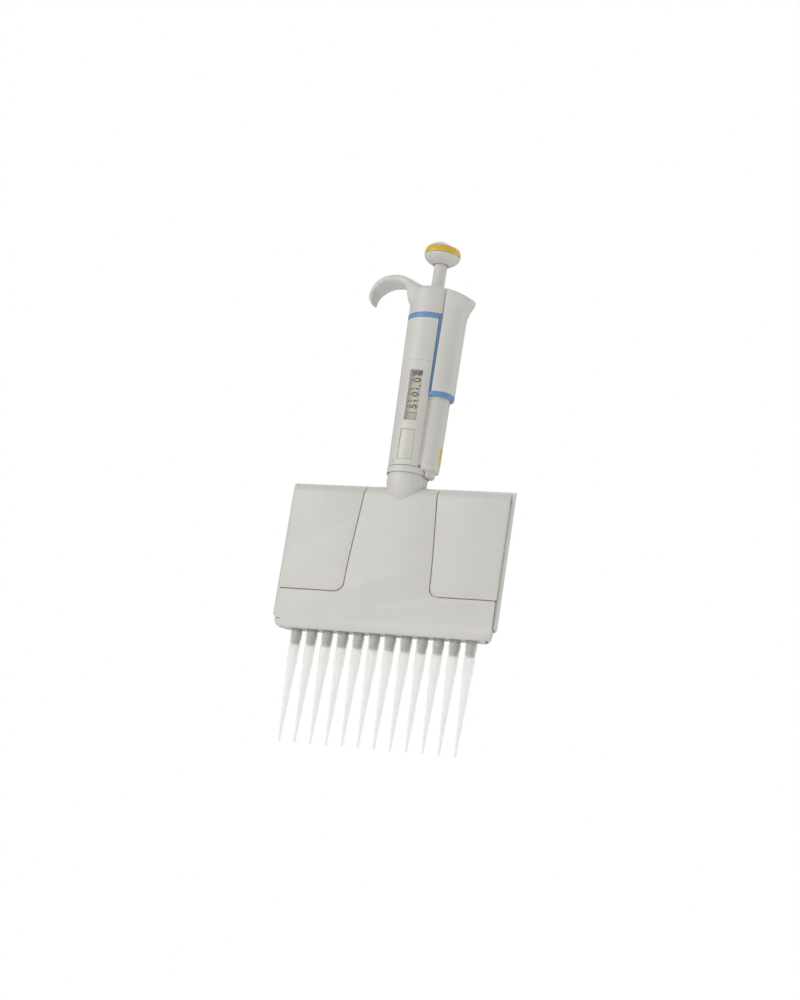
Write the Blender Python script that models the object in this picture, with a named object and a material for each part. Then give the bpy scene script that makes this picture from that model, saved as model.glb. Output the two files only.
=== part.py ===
"""Twelve-channel manual pipette, 5 to 50 microlitres, with disposable tips.

Frame: +Z up along the handle, X along the row of channels, -Y is the front
(the side with the volume window). The origin is on the handle's axis, in the
plane of the tip ends. Dimensions below are in millimetres; the scene is in
metres.
"""

import math

import bmesh
import bpy
from mathutils import Matrix, Vector

MM = 0.001

# ---------------------------------------------------------------- dimensions
GAP = 0.3  # between neighbouring parts
RUNNING_GAP = 0.35  # around parts that slide or turn

CHANNELS = 12
PITCH = 9.0  # standard microplate pitch
FIRST_X = -PITCH * (CHANNELS - 1) / 2
CHANNEL_X = [FIRST_X + PITCH * i for i in range(CHANNELS)]
SIDES = (("left", -1), ("right", 1))

# Handle housing: (z, outer radius)
HOUSING = [(148.5, 10.9), (149.2, 11.3), (193.0, 12.1), (212.0, 12.6),
           (230.0, 13.0), (246.6, 13.0), (247.9, 11.9)]
KEY_PLANE = 9.2  # flat on the +X side of the housing, the key rides outside it
BORE_R = 9.6  # round cavity of the housing
BULGE_R = 10.9  # round wall that closes the cavity behind the key
CAVITY_TOP = 245.0
INSERT_R = 9.25  # rings seated in the cavity
RING_Z = (229.7, 232.7)  # groove of the trim ring
WINDOW_X, WINDOW_Z = (-2.4, 4.4), (173.0, 200.5)
LABEL_X, LABEL_Z = (-3.1, 4.9), (151.5, 168.0)
CLEAR_Y = -15.0  # in front of the whole housing

# Key and slider of the ejector
KEY_CENTRE = 10.3  # x of the centre of their round sections
KEY_HALF, KEY_INNER = 8.6, 7.1
SLIDER_R, SLIDER_WALL = 6.75, 1.45

# Plunger and volume setting
STEM_R, STEM_BORE = 3.55, 2.1
ROD_R = 1.8
BUSHING_TOP = 164.0
WASHER_Z = (168.3, 169.5)
COLLAR_Z = 186.0
SLEEVE_Z = 206.0
NUT_Z = 198.6
WHEEL_R, WHEEL_INNER, WHEEL_EDGE = 9.2, 7.5, 0.3
# (name, bottom z, top z)
WHEELS = [("digit_wheel_tens", 177.9, 184.3), ("digit_wheel_units", 184.6, 191.0),
          ("digit_wheel_tenths", 191.3, 198.7)]

# Head
FRONT, SKIN = -6.0, 1.6  # front face and its thickness
REAR = 7.5
HALF_FRONT, HALF_BAND, HALF_REAR = 61.5, 61.2, 63.2
HEAD_TOP, REAR_FOOT = 138.8, 65.6
ROLL_R = 6.5  # where the front skins roll back into the top of the head
ROLL_Z = HEAD_TOP - ROLL_R  # height at which the roll starts
BAND_TOP, BAND_FOOT = 79.8, 59.2
SHELL_ROLL_HALF = 20.4  # half width of the ejector shell's roll
PANEL_GAP = 0.5  # between the ejector shell and the side panels
# Upright of the ejector shell: (z, half width)
UPRIGHT = [(79.0, 24.3), (90.0, 24.0), (110.0, 22.5), (137.5, 20.3)]
NECK_R, NECK_BORE, NECK_TOP = 10.7, 8.3, 146.5
SWIVEL_R, SWIVEL_LOW_R = 8.0, 4.0
FRAME_X, FRAME_Y = (-57.3, 57.3), (-3.9, 5.4)
FRAME_Z, BLOCK_Z = (122.0, 127.0), (80.4, 86.0)
RACK_Z = (112.0, 116.0)
GUIDE_X, GUIDE_R = 27.0, 1.2
CHANNEL_HOLE_R = 3.05

# Tip and cone: (z, radius)
TIP_TOP = 57.8
TIP_OUTER = [(0.0, 0.65), (41.4, 2.45), (41.7, 2.75), (51.3, 2.8), (56.5, 3.2), (TIP_TOP, 3.25)]
TIP_INNER = [(TIP_TOP, 2.95), (51.0, 2.45), (41.2, 2.0), (0.0, 0.32)]
CONE_END = 51.3
CONE_PROFILE = [
    (CONE_END, 2.2), (TIP_TOP, 2.68), (76.0, 2.7), (76.0, 3.5), (80.1, 3.5), (80.1, 2.65),
    (86.4, 2.65), (86.4, 2.05), (96.0, 2.05), (96.0, 1.5), (75.0, 1.5), (CONE_END, 0.8)]


# ---------------------------------------------------------- scene, materials
def clear_scene():
    for obj in list(bpy.data.objects):
        bpy.data.objects.remove(obj, do_unlink=True)


def material(name, colour, roughness, metallic=0.0, alpha=1.0):
    made = bpy.data.materials.new(name)
    made.use_nodes = True
    inputs = made.node_tree.nodes["Principled BSDF"].inputs
    inputs["Base Color"].default_value = (*colour, 1.0)
    inputs["Roughness"].default_value = roughness
    inputs["Metallic"].default_value = metallic
    inputs["Alpha"].default_value = alpha
    made.diffuse_color = (*colour, alpha)
    return made


clear_scene()
SHELL = material("shell_plastic", colour=(0.60, 0.59, 0.55), roughness=0.42)
YELLOW = material("colour_code_yellow", colour=(0.58, 0.41, 0.05), roughness=0.35)
BLUE = material("trim_blue", colour=(0.11, 0.24, 0.46), roughness=0.4)
CONE = material("cone_grey", colour=(0.30, 0.30, 0.28), roughness=0.5)
TIP = material("tip_polypropylene", colour=(0.80, 0.80, 0.78), roughness=0.35, alpha=0.5)
CLEAR = material("window_clear", colour=(0.85, 0.85, 0.82), roughness=0.1, alpha=0.35)
DIGIT = material("counter_ivory", colour=(0.56, 0.54, 0.40), roughness=0.5)
LABEL = material("label", colour=(0.55, 0.54, 0.49), roughness=0.6)
STEEL = material("steel", colour=(0.55, 0.55, 0.56), roughness=0.25, metallic=1.0)
BRASS = material("brass", colour=(0.60, 0.45, 0.18), roughness=0.3, metallic=1.0)
POM = material("acetal", colour=(0.70, 0.70, 0.68), roughness=0.4)

# ------------------------------------------------------------ pivots (bodies)
PIVOTS = {}  # body name: (empty, its height)


def pivot(name, z, parent=None):
    empty = bpy.data.objects.new("pivot_" + name, None)
    empty.empty_display_size = 0.01
    bpy.context.scene.collection.objects.link(empty)
    base = 0.0
    if parent:
        empty.parent, base = PIVOTS[parent]
    empty.location = (0, 0, (z - base) * MM)
    PIVOTS[name] = (empty, z)


pivot("handle", 0.0)
pivot("washer", WASHER_Z[0], "handle")
pivot("plunger", 205.0, "handle")
pivot("button", 262.0, "plunger")
pivot("sleeve", SLEEVE_Z, "handle")
pivot("nut", NUT_Z, "handle")
for wheel_name, wheel_bottom, _ in WHEELS:
    pivot(wheel_name, wheel_bottom, "handle")
pivot("ejector_key", 190.0, "handle")
pivot("head", 150.0, "handle")
pivot("ejector_shell", 137.0, "head")
pivot("rack", RACK_Z[0], "head")
pivot("tips", TIP_TOP, "ejector_shell")


# -------------------------------------------------------------- mesh helpers
def place(name, skin, body):
    """Makes an object from a bmesh in millimetres, with its origin at its body's pivot."""
    bmesh.ops.recalc_face_normals(skin, faces=skin.faces)
    if skin.calc_volume(signed=True) < 0:
        bmesh.ops.reverse_faces(skin, faces=skin.faces)
    parent, base = PIVOTS[body]
    bmesh.ops.translate(skin, vec=(0, 0, -base), verts=skin.verts)
    bmesh.ops.scale(skin, vec=(MM, MM, MM), verts=skin.verts)
    mesh = bpy.data.meshes.new(name)
    skin.to_mesh(mesh)
    skin.free()
    mesh.shade_smooth()
    mesh.set_sharp_from_angle(angle=math.radians(35))
    obj = bpy.data.objects.new(name, mesh)
    bpy.context.scene.collection.objects.link(obj)
    obj.parent = parent
    return obj


def solid(name, skin, mat, body):
    obj = place(name, skin, body)
    obj.data.materials.append(mat)
    return obj


def combine(obj, skin, operation, suffix):
    """Adds a Boolean to obj with a hidden helper that shares its body's pivot."""
    name = f"{obj.name}_{suffix}_{len(obj.modifiers)}"
    helper = place(name, skin, obj.parent.name.removeprefix("pivot_"))
    helper.hide_render = True
    helper.display_type = "WIRE"
    step = obj.modifiers.new(name, "BOOLEAN")
    step.operation = operation
    step.solver = "EXACT"
    step.object = helper


def cut(obj, skin):
    combine(obj, skin, "DIFFERENCE", "cutter")


def join(obj, skin):
    combine(obj, skin, "UNION", "addition")


def loft(rings):
    """A skin through rings of equal count, with capped ends."""
    skin = bmesh.new()
    rows = [[skin.verts.new(point) for point in ring] for ring in rings]
    count = len(rows[0])
    for low, high in zip(rows, rows[1:]):
        for j in range(count):
            k = (j + 1) % count
            skin.faces.new((low[j], low[k], high[k], high[j]))
    skin.faces.new(list(reversed(rows[0])))
    skin.faces.new(rows[-1])
    return skin


def turned(profile, segments, centre=(0.0, 0.0)):
    """A closed turned body from (z, radius) points.

    A profile that starts and ends at radius 0 closes on the axis, any other is
    a loop around a bore.
    """
    skin = bmesh.new()
    rows = []
    for z, radius in profile:
        if radius == 0:
            rows.append([skin.verts.new((*centre, z))])
            continue
        angles = [2 * math.pi * j / segments for j in range(segments)]
        rows.append([skin.verts.new((centre[0] + radius * math.cos(angle),
                                     centre[1] + radius * math.sin(angle), z))
                     for angle in angles])
    around_bore = profile[0][1] != 0
    for i in range(len(rows) if around_bore else len(rows) - 1):
        low, high = rows[i], rows[(i + 1) % len(rows)]
        for j in range(segments):
            k = (j + 1) % segments
            if len(low) == 1:
                skin.faces.new((low[0], high[k], high[j]))
            elif len(high) == 1:
                skin.faces.new((low[j], low[k], high[0]))
            else:
                skin.faces.new((low[j], low[k], high[k], high[j]))
    return skin


def tube(low, high, outer, inner, segments):
    return turned([(low, outer), (high, outer), (high, inner), (low, inner)], segments)


def rod(low, high, radius, segments, centre=(0.0, 0.0)):
    return turned([(low, 0), (low, radius), (high, radius), (high, 0)], segments, centre)


def prism(outline, low, high, plane="XY"):
    """An outline pushed along the third axis."""
    def spot(a, b, c):
        return {"XY": (a, b, c), "XZ": (a, c, b), "YZ": (c, a, b)}[plane]
    return loft([[spot(*point, depth) for point in outline] for depth in (low, high)])


def box(x_range, y_range, z_range):
    (x0, x1), (y0, y1) = x_range, y_range
    return prism([(x0, y0), (x1, y0), (x1, y1), (x0, y1)], *z_range)


def coil(low, high, radius, wire, turns, per_turn, centre=(0.0, 0.0)):
    """A compression spring as one closed body; wire is the wire's radius."""
    sides = 4
    low, high = low + wire, high - wire
    steps = int(per_turn * turns)
    up = Vector((0, 0, 1))
    corners = [2 * math.pi * k / sides + math.pi / 4 for k in range(sides)]
    rings = []
    for i in range(steps + 1):
        turn = 2 * math.pi * turns * i / steps
        out = Vector((math.cos(turn), math.sin(turn), 0))
        middle = Vector((*centre, low + (high - low) * i / steps)) + out * radius
        rings.append([tuple(middle + (out * math.cos(corner) + up * math.sin(corner)) * wire)
                      for corner in corners])
    return loft(rings)


# ------------------------------------------------------------ outline helpers
def at_height(outline, z):
    return [(x, y, z) for x, y in outline]


def mirrored(points):
    """The points on the other side of x = 0, in reverse order."""
    return [(-x, other) for x, other in reversed(points)]


def symmetric(points):
    return points + mirrored(points)


def arc(radius, start, stop, steps, centre_x=0.0):
    """Arc in the XY plane between two angles in degrees."""
    angles = [math.radians(start + (stop - start) * i / steps) for i in range(steps + 1)]
    return [(centre_x + radius * math.cos(a), radius * math.sin(a)) for a in angles]


def fillet(corner, before, after, radius, steps):
    """Points of an arc that rounds a corner between two directions."""
    corner = Vector(corner)
    back = (Vector(before) - corner).normalized()
    ahead = (Vector(after) - corner).normalized()
    half = back.angle(ahead) / 2
    reach = radius / math.tan(half)
    centre = corner + (back + ahead).normalized() * (radius / math.sin(half))
    start, stop = corner + back * reach - centre, corner + ahead * reach - centre
    turn = start.angle_signed(stop)
    return [tuple(centre + Matrix.Rotation(-turn * i / steps, 2) @ start)
            for i in range(steps + 1)]


def interpolate(table, z):
    """Value at a height in a table of (z, value); the last value holds above it."""
    for (z0, value0), (z1, value1) in zip(table, table[1:]):
        if z <= z1:
            return value0 + (value1 - value0) * (z - z0) / (z1 - z0)
    return table[-1][1]


# ==================================================================== HANDLE
def d_section(radius, chord, count=27):
    """A circle about the axis cut off at x = chord."""
    start = math.acos(chord / radius)
    angles = [start + (2 * math.pi - 2 * start) * i / (count - 1) for i in range(count)]
    return [(radius * math.cos(a), radius * math.sin(a)) for a in angles]


def d_band(outer, inner):
    """An open band between two D sections, each given as (radius, chord)."""
    return d_section(*outer) + d_section(*inner)[::-1]


def front_arc(start, stop, radius, count=6):
    """Points on the front of a circle about the axis, from x = start to x = stop."""
    places = [start + (stop - start) * i / count for i in range(count + 1)]
    return [(x, -math.sqrt(radius ** 2 - x ** 2)) for x in places]


def front_band(x_range, inner, outer):
    """Curved band that fits in an opening of the housing's front."""
    left, right = x_range[0] + GAP, x_range[1] - GAP
    return front_arc(left, right, inner) + front_arc(right, left, outer)


# Finger hook, root: (x, z of the top line, z of the under line, half width)
HOOK_ROOT = [
    (-1.5, 247.7, 236.0, 10.4), (-5.0, 249.4, 237.4, 9.9), (-8.5, 251.2, 238.9, 9.3),
    (-12.0, 253.3, 241.0, 8.7), (-14.5, 254.5, 244.2, 8.2), (-17.0, 255.4, 247.8, 7.9),
    (-19.5, 256.1, 250.3, 7.7), (-22.0, 256.5, 251.9, 7.5), (-27.0, 255.9, 251.9, 7.3)]
# Finger hook, down-turned end: ((x, z) of the top, (x, z) of the underside, half width)
HOOK_END = [
    ((-30.8, 254.5), (-29.2, 251.0), 7.0), ((-34.3, 252.0), (-31.6, 249.4), 6.4),
    ((-36.9, 248.2), (-34.1, 247.0), 5.7), ((-38.0, 244.4), (-35.2, 243.9), 4.7),
    ((-37.3, 242.0), (-35.3, 241.6), 3.6), ((-36.3, 240.5), (-35.3, 240.3), 2.4)]


def hook_ring(top, under, half):
    """One section with bevelled corners between a top and an under point in the XZ plane."""
    (x1, z1), (x0, z0) = top, under
    thick = math.hypot(x1 - x0, z1 - z0)
    slope_x, slope_z = (x1 - x0) / thick, (z1 - z0) / thick
    soft = min(0.3 * thick, 1.2)
    section = [(-half + soft, 0), (half - soft, 0), (half, soft), (half, thick - soft),
               (half - soft, thick), (-half + soft, thick), (-half, thick - soft), (-half, soft)]
    return [(x0 + slope_x * rise, y, z0 + slope_z * rise) for y, rise in section]


def build_housing():
    """Hollow housing with a finger hook on the -X side and a flat on the +X side."""
    housing = solid("handle_housing", loft([at_height(d_section(radius, KEY_PLANE), z)
                                            for z, radius in HOUSING]), SHELL, "handle")
    join(housing, rod(149.7, 247.8, BULGE_R, 28))
    root = [((x, top), (x, under), half) for x, top, under, half in HOOK_ROOT]
    join(housing, loft([hook_ring(*station) for station in root + HOOK_END]))
    cut(housing, rod(147.0, CAVITY_TOP, BORE_R, 28))
    cut(housing, rod(CAVITY_TOP - 1, 262.0, STEM_R + RUNNING_GAP, 20))
    cut(housing, box(WINDOW_X, (CLEAR_Y, -5.0), WINDOW_Z))
    # recess for the label
    left, right = LABEL_X
    cut(housing, prism(front_arc(left, right, 10.95) + [(right, CLEAR_Y), (left, CLEAR_Y)],
                       *LABEL_Z))
    # groove for the trim ring
    cut(housing, prism(d_band((15.0, 9.0), (12.2, 8.6)), *RING_Z))
    # bracket that the ejector spring stands on
    join(housing, box((9.9, 14.7), (-2.0, 2.0), (196.2, 198.3)))


def build_housing_fittings():
    solid("bearing_ring", tube(150.3, 156.5, INSERT_R, SWIVEL_R + 0.25, 24), POM, "handle")
    solid("trim_ring", prism(d_band((13.0, 8.2), (12.5, 8.2)), RING_Z[0] + 0.25,
                             RING_Z[1] - 0.25), BLUE, "handle")
    lens_rings = [at_height(front_band(WINDOW_X, 10.6, interpolate(HOUSING, z) - 0.1), z)
                  for z in (WINDOW_Z[0] + GAP, WINDOW_Z[1] - GAP)]
    solid("window_lens", loft(lens_rings), CLEAR, "handle")
    solid("type_label", prism(front_band(LABEL_X, 11.0, 11.25), LABEL_Z[0] + GAP,
                              LABEL_Z[1] - GAP), LABEL, "handle")


def build_blowout_stage():
    """Lower guide of the push rod, with the blow-out spring and washer above it."""
    solid("stop_bushing", tube(161.0, BUSHING_TOP, INSERT_R, ROD_R + GAP, 24), POM, "handle")
    solid("blowout_spring", coil(BUSHING_TOP + GAP, WASHER_Z[0] - GAP, radius=5.6, wire=0.4,
                                 turns=2.5, per_turn=9), STEEL, "handle")
    solid("blowout_washer", tube(*WASHER_Z, 6.3, ROD_R + GAP, 20), STEEL, "washer")


def build_plunger():
    """Push rod, with the collar that the plunger spring lifts."""
    solid("plunger_spring", coil(WASHER_Z[1] + GAP, COLLAR_Z - GAP, radius=3.6, wire=0.38,
                                 turns=4, per_turn=8), STEEL, "handle")
    solid("push_rod", turned([
        (116.4, 0), (116.4, ROD_R), (COLLAR_Z, ROD_R), (COLLAR_Z, 4.6), (189.0, 4.6),
        (189.0, ROD_R), (238.0, ROD_R), (238.0, 0)], 16), STEEL, "plunger")


def build_button():
    solid("button_stem", turned([
        (202.9, STEM_R), (264.4, STEM_R), (264.4, 0.9), (240.0, 0.9), (240.0, STEM_BORE),
        (202.9, STEM_BORE)], 20), SHELL, "button")
    solid("push_button", turned([
        (263.5, STEM_R + 0.25), (263.5, 4.3), (264.2, 5.4), (265.0, 7.0), (266.5, 8.8),
        (268.2, 9.65), (268.5, 9.0), (272.3, 8.7), (274.3, 7.3), (275.7, 4.5), (276.2, 1.0),
        (276.2, 0.6), (264.75, 0.6), (264.75, STEM_R + 0.25)], 28), SHELL, "button")
    solid("button_colour_ring", turned([
        (268.8, 9.7), (270.6, 9.65), (272.2, 9.25), (272.2, 9.02), (268.8, 9.28)], 28),
        YELLOW, "button")


def build_volume_setting():
    """The stem turns the sleeve, whose thread carries the stop nut."""
    bore = STEM_R + GAP
    solid("volume_sleeve", turned([
        (SLEEVE_Z, 8.4), (207.6, 8.4), (207.6, 5.2), (236.0, 5.2), (236.0, bore),
        (SLEEVE_Z, bore)], 20), BRASS, "sleeve")
    solid("stop_nut", tube(NUT_Z, 202.6, 6.3, bore, 12), BRASS, "nut")


def build_counter():
    solid("counter_frame", turned([
        (170.2, 9.2), (172.0, 9.2), (172.0, 7.15), (201.0, 7.15), (201.0, 6.65),
        (170.2, 6.65)], 24), POM, "handle")
    edge_r = WHEEL_R - WHEEL_EDGE
    for name, low, high in WHEELS:
        solid(name, turned([
            (low, edge_r), (low + WHEEL_EDGE, WHEEL_R), (high - WHEEL_EDGE, WHEEL_R),
            (high, edge_r), (high, WHEEL_INNER), (low, WHEEL_INNER)], 30), DIGIT, name)


# ============================================================ EJECTOR, HANDLE
# Key: (z, x of the outermost point, half width, slope down away from the housing)
KEY_STATIONS = [
    (190.2, 19.0, KEY_HALF, 0.0), (214.0, 19.0, KEY_HALF, 0.0), (233.0, 19.2, KEY_HALF, 0.02),
    (236.6, 19.9, 8.65, 0.06), (240.2, 21.4, 8.7, 0.12), (243.6, 22.7, 8.75, 0.17),
    (245.7, 22.9, 8.75, 0.21), (247.0, 22.3, 8.6, 0.24), (247.9, 20.8, 8.1, 0.26)]
# Slider wall: (z, outer radius)
SLIDER_WALL_STATIONS = [(147.6, 6.2), (149.0, 6.5), (236.0, SLIDER_R)]
# Slider foot: (z, x nearest the axis, x of the outermost point, half width)
SLIDER_FOOT = [
    (144.3, 11.35, 13.9, 3.9), (145.0, 11.35, 14.7, 4.4), (146.9, 11.1, 14.8, 4.5),
    (147.0, 10.0, 14.9, 4.6), (148.0, 10.0, 15.6, 5.0), (149.3, 10.0, 16.2, 5.5)]
# Collar of the slider around the head's neck: (z, radius)
SLIDER_COLLAR = [
    (144.9, 11.35), (148.2, 11.35), (148.2, SWIVEL_R + RUNNING_GAP),
    (146.9, SWIVEL_R + RUNNING_GAP), (146.9, 11.0), (144.9, 11.0)]


def key_section(z, reach, half, tilt=0.0, count=15):
    """Half-oval section outside the housing's flat, out to x = reach."""
    start = KEY_PLANE + GAP
    span = reach - KEY_CENTRE
    limit = math.acos(max(-1.0, (start - KEY_CENTRE) / span))
    angles = [-limit + 2 * limit * i / (count - 1) for i in range(count)]
    outline = [(KEY_CENTRE + span * math.cos(a), half * math.sin(a)) for a in angles]
    return [(x, y, z - tilt * (x - KEY_PLANE)) for x, y in outline]


def hollow_key(piece, inner_z, bulge_z):
    """Cuts the key's inside, then room for the round wall of the housing."""
    cut(piece, loft([key_section(z, KEY_CENTRE + KEY_INNER, KEY_INNER) for z in inner_z]))
    cut(piece, rod(*bulge_z, BULGE_R + RUNNING_GAP, 28))


def build_key():
    key = solid("ejector_key", loft([key_section(*station) for station in KEY_STATIONS]),
                SHELL, "ejector_key")
    hollow_key(key, inner_z=(188.0, 243.3), bulge_z=(186.0, 262.0))


def build_key_trim():
    """Coloured band under the foot of the key."""
    trim = solid("key_trim", loft([key_section(187.2, 18.7, KEY_HALF - 0.1),
                                   key_section(189.9, 18.9, KEY_HALF)]), BLUE, "ejector_key")
    hollow_key(trim, inner_z=(186.0, 191.0), bulge_z=(185.0, 192.0))


def slider_foot_ring(z, back, reach, half):
    shoulder, nose = KEY_CENTRE + 0.4 * half, reach - 1.2
    return at_height([(back, -half), (shoulder, -half), (nose, -0.62 * half), (reach, 0.0),
                      (nose, 0.62 * half), (shoulder, half), (back, half)], z)


def build_slider():
    """Half-round channel inside the key, with a foot and a collar at its lower end."""
    slider = solid("ejector_slider", loft([
        at_height(arc(radius, -92, 92, 12, KEY_CENTRE)
                  + arc(radius - SLIDER_WALL, 92, -92, 12, KEY_CENTRE), z)
        for z, radius in SLIDER_WALL_STATIONS]), SHELL, "ejector_key")
    join(slider, loft([slider_foot_ring(*station) for station in SLIDER_FOOT]))
    join(slider, turned(SLIDER_COLLAR, 30))


def build_ejector_spring():
    solid("ejector_spring", coil(198.6, 243.0, radius=1.6, wire=0.32, turns=8, per_turn=6,
                                 centre=(13.1, 0.0)), STEEL, "handle")


# ====================================================================== HEAD
# Half outlines, +X side. Band of the ejector shell below its upright: (x, z)
BAND_EDGE = [(HALF_BAND, BAND_TOP), (HALF_BAND, 62.6), (60.6, 61.2), (59.2, 60.2),
             (56.5, 59.5), (50.0, BAND_FOOT)]
# Ejector tray and stripper plate, drawn in towards the back: (x, y)
TRAY_WALL = [(60.9, -5.2), (60.9, -1.6), (59.1, 2.5), (57.8, 5.2)]
TRAY_INSIDE = [(57.1, 3.7), (57.7, 2.3), (HALF_BAND - 1.7, -1.9), (HALF_BAND - 1.6, -5.2)]
TRAY_FLOOR = [(58.0, -5.2), (59.7, -3.6), (59.7, -1.5), (57.9, 2.4), (56.9, 4.7)]
TRAY_OPENING = [(58.0, -4.4), (58.0, -1.4), (56.6, 1.8), (55.8, 3.7)]
STRIPPER = [(57.7, -4.1), (57.7, -1.5), (56.3, 1.7), (55.5, 3.4)]
# Neck of the ejector shell: (z, radius)
NECK = [(131.0, 0), (131.05, 4.2), (132.2, 6.2), (133.7, 7.75), (136.0, 9.4), (138.2, 10.4),
        (140.0, NECK_R), (146.0, NECK_R), (NECK_TOP, 10.4), (NECK_TOP, 0)]
# Rear cover: (y, inset of the sides, inset of top and foot, top radius, foot radius)
COVER_STATIONS = [
    (-4.1, 0.0, 0.0, 1.0, 0.8), (-2.4, 0.1, 0.0, 1.0, 0.8), (0.2, 1.2, 0.0, 1.0, 0.8),
    (2.6, 2.3, 0.0, 1.2, 0.8), (4.8, 3.4, 0.0, 1.6, 1.2), (6.8, 4.8, 0.7, 2.4, 2.0),
    (REAR, 6.4, 2.2, 3.2, 3.0)]
# Inside of the rear cover: (y, half width)
COVER_CAVITY = [(-4.6, 61.3), (-1.5, 61.3), (2.5, 59.5), (5.8, 57.9)]


def roll(radius, start, stop, steps=8):
    """Points (y, z) of the roll between two angles in degrees from the front."""
    angles = [math.radians(start + (stop - start) * i / steps) for i in range(steps + 1)]
    return [(FRONT + ROLL_R - radius * math.cos(a), ROLL_Z + radius * math.sin(a))
            for a in angles]


def roll_skin(left, right):
    """The rolled upper part of a front skin."""
    foot = ROLL_Z - 0.9
    section = ([(FRONT, foot)] + roll(ROLL_R, 0, 88) + roll(ROLL_R - SKIN, 88, 0)
               + [(FRONT + SKIN, foot)])
    return prism(section, left, right, "YZ")


def roll_front():
    """Everything in front of the roll, as a cutter across the head."""
    section = [(-12.0, ROLL_Z)] + roll(ROLL_R, 0, 88) + [(0.45, 145.0), (-12.0, 145.0)]
    return prism(section, -70.0, 70.0, "YZ")


def upright_edge(gap, radius):
    """Edge of the upright and its corner above the band, (x, z), moved out by gap."""
    edge = [(interpolate(UPRIGHT, z) + gap, z) for z in (ROLL_Z, 124.0, 110.0, 98.0, 90.0)]
    corner = (interpolate(UPRIGHT, 80.0) + gap, BAND_TOP + gap)
    return edge + fillet(corner, edge[-1], (40.0, BAND_TOP + gap), radius, 5)


def bore_channels(piece, low, high):
    for x in CHANNEL_X:
        cut(piece, rod(low, high, CHANNEL_HOLE_R, 10, (x, 0.0)))


def build_ejector_shell():
    """T-shaped front skin with a tray along its foot and a neck on top."""
    outline = symmetric(upright_edge(0.0, 4.6) + BAND_EDGE)
    shell = solid("ejector_shell", prism(outline, FRONT, FRONT + SKIN, "XZ"), SHELL,
                  "ejector_shell")
    # side walls and open floor of the tray
    join(shell, prism(symmetric(TRAY_WALL) + mirrored(TRAY_INSIDE) + TRAY_INSIDE, 61.9, 79.5))
    join(shell, prism(symmetric(TRAY_FLOOR), 59.5, 62.3))
    cut(shell, prism(symmetric(TRAY_OPENING), 55.0, 70.0))
    # roll, top plate and neck
    join(shell, roll_skin(-SHELL_ROLL_HALF, SHELL_ROLL_HALF))
    join(shell, box((-19.9, 19.9), (-1.2, 5.4), (137.2, 138.6)))
    join(shell, turned(NECK, 30))
    # hollow under the neck
    cut(shell, box((-12.0, 12.0), (FRONT + SKIN, 7.85), (125.0, 134.2)))
    cut(shell, box((-12.0, 12.0), (-1.9, 7.85), (125.0, 137.1)))
    # curved apron at the back of the neck
    join(shell, prism(arc(NECK_R, 49, 130, 9), 124.6, 140.0))
    # stepped bore for the swivel tube
    cut(shell, rod(138.2, 148.0, NECK_BORE, 28))
    cut(shell, rod(128.0, 139.5, SWIVEL_LOW_R + RUNNING_GAP, 20))


def build_stripper():
    plate = solid("stripper_plate", prism(symmetric(STRIPPER), 59.5, 61.3), SHELL,
                  "ejector_shell")
    bore_channels(plate, 58.0, 63.0)


def build_side_panels():
    """Front skins of the head on both sides of the upright, each with an inner rib."""
    edge = upright_edge(PANEL_GAP, 5.0)
    edge += [(HALF_FRONT, BAND_TOP + PANEL_GAP), (HALF_FRONT, ROLL_Z)]
    for name, side in SIDES:
        outline = [(side * x, z) for x, z in edge]
        panel = solid(f"{name}_panel", prism(outline, FRONT, FRONT + SKIN, "XZ"), SHELL, "head")
        roll_x = (side * (SHELL_ROLL_HALF + PANEL_GAP), side * HALF_FRONT)
        join(panel, roll_skin(*sorted(roll_x)))
        join(panel, box(sorted((side * 59.6, side * 60.9)), (-5.2, -1.8), (81.0, 133.5)))


def cover_ring(y, half, low, high, top_radius, foot_radius):
    """Rounded rectangle in the XZ plane."""
    corners = [(-half, low), (half, low), (half, high), (-half, high)]
    radii = (foot_radius, foot_radius, top_radius, top_radius)
    ring = []
    for i, radius in enumerate(radii):
        ring += fillet(corners[i], corners[i - 1], corners[(i + 1) % 4], radius, 4)
    return [(x, y, z) for x, z in ring]


def build_rear_cover():
    rear = solid("rear_cover", loft([
        cover_ring(y, HALF_REAR - side_in, REAR_FOOT + end_in, HEAD_TOP - end_in, top, foot)
        for y, side_in, end_in, top, foot in COVER_STATIONS]), SHELL, "head")
    cut(rear, loft([cover_ring(y, half, 60.0, 137.3, 0.8, 0.8) for y, half in COVER_CAVITY]))
    # room for the rolled skins, then for the shell's top plate, apron and neck
    cut(rear, roll_front())
    cut(rear, box((-61.8, 61.8), (-5.0, 0.75), (131.0, 142.0)))
    cut(rear, box((-20.6, 20.6), (-4.6, 5.8), (130.0, 141.0)))
    cut(rear, box((-9.6, 9.6), (4.0, 10.0), (127.4, 140.0)))
    cut(rear, box((-17.5, 17.5), (4.0, 10.0), (136.0, 140.0)))


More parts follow.
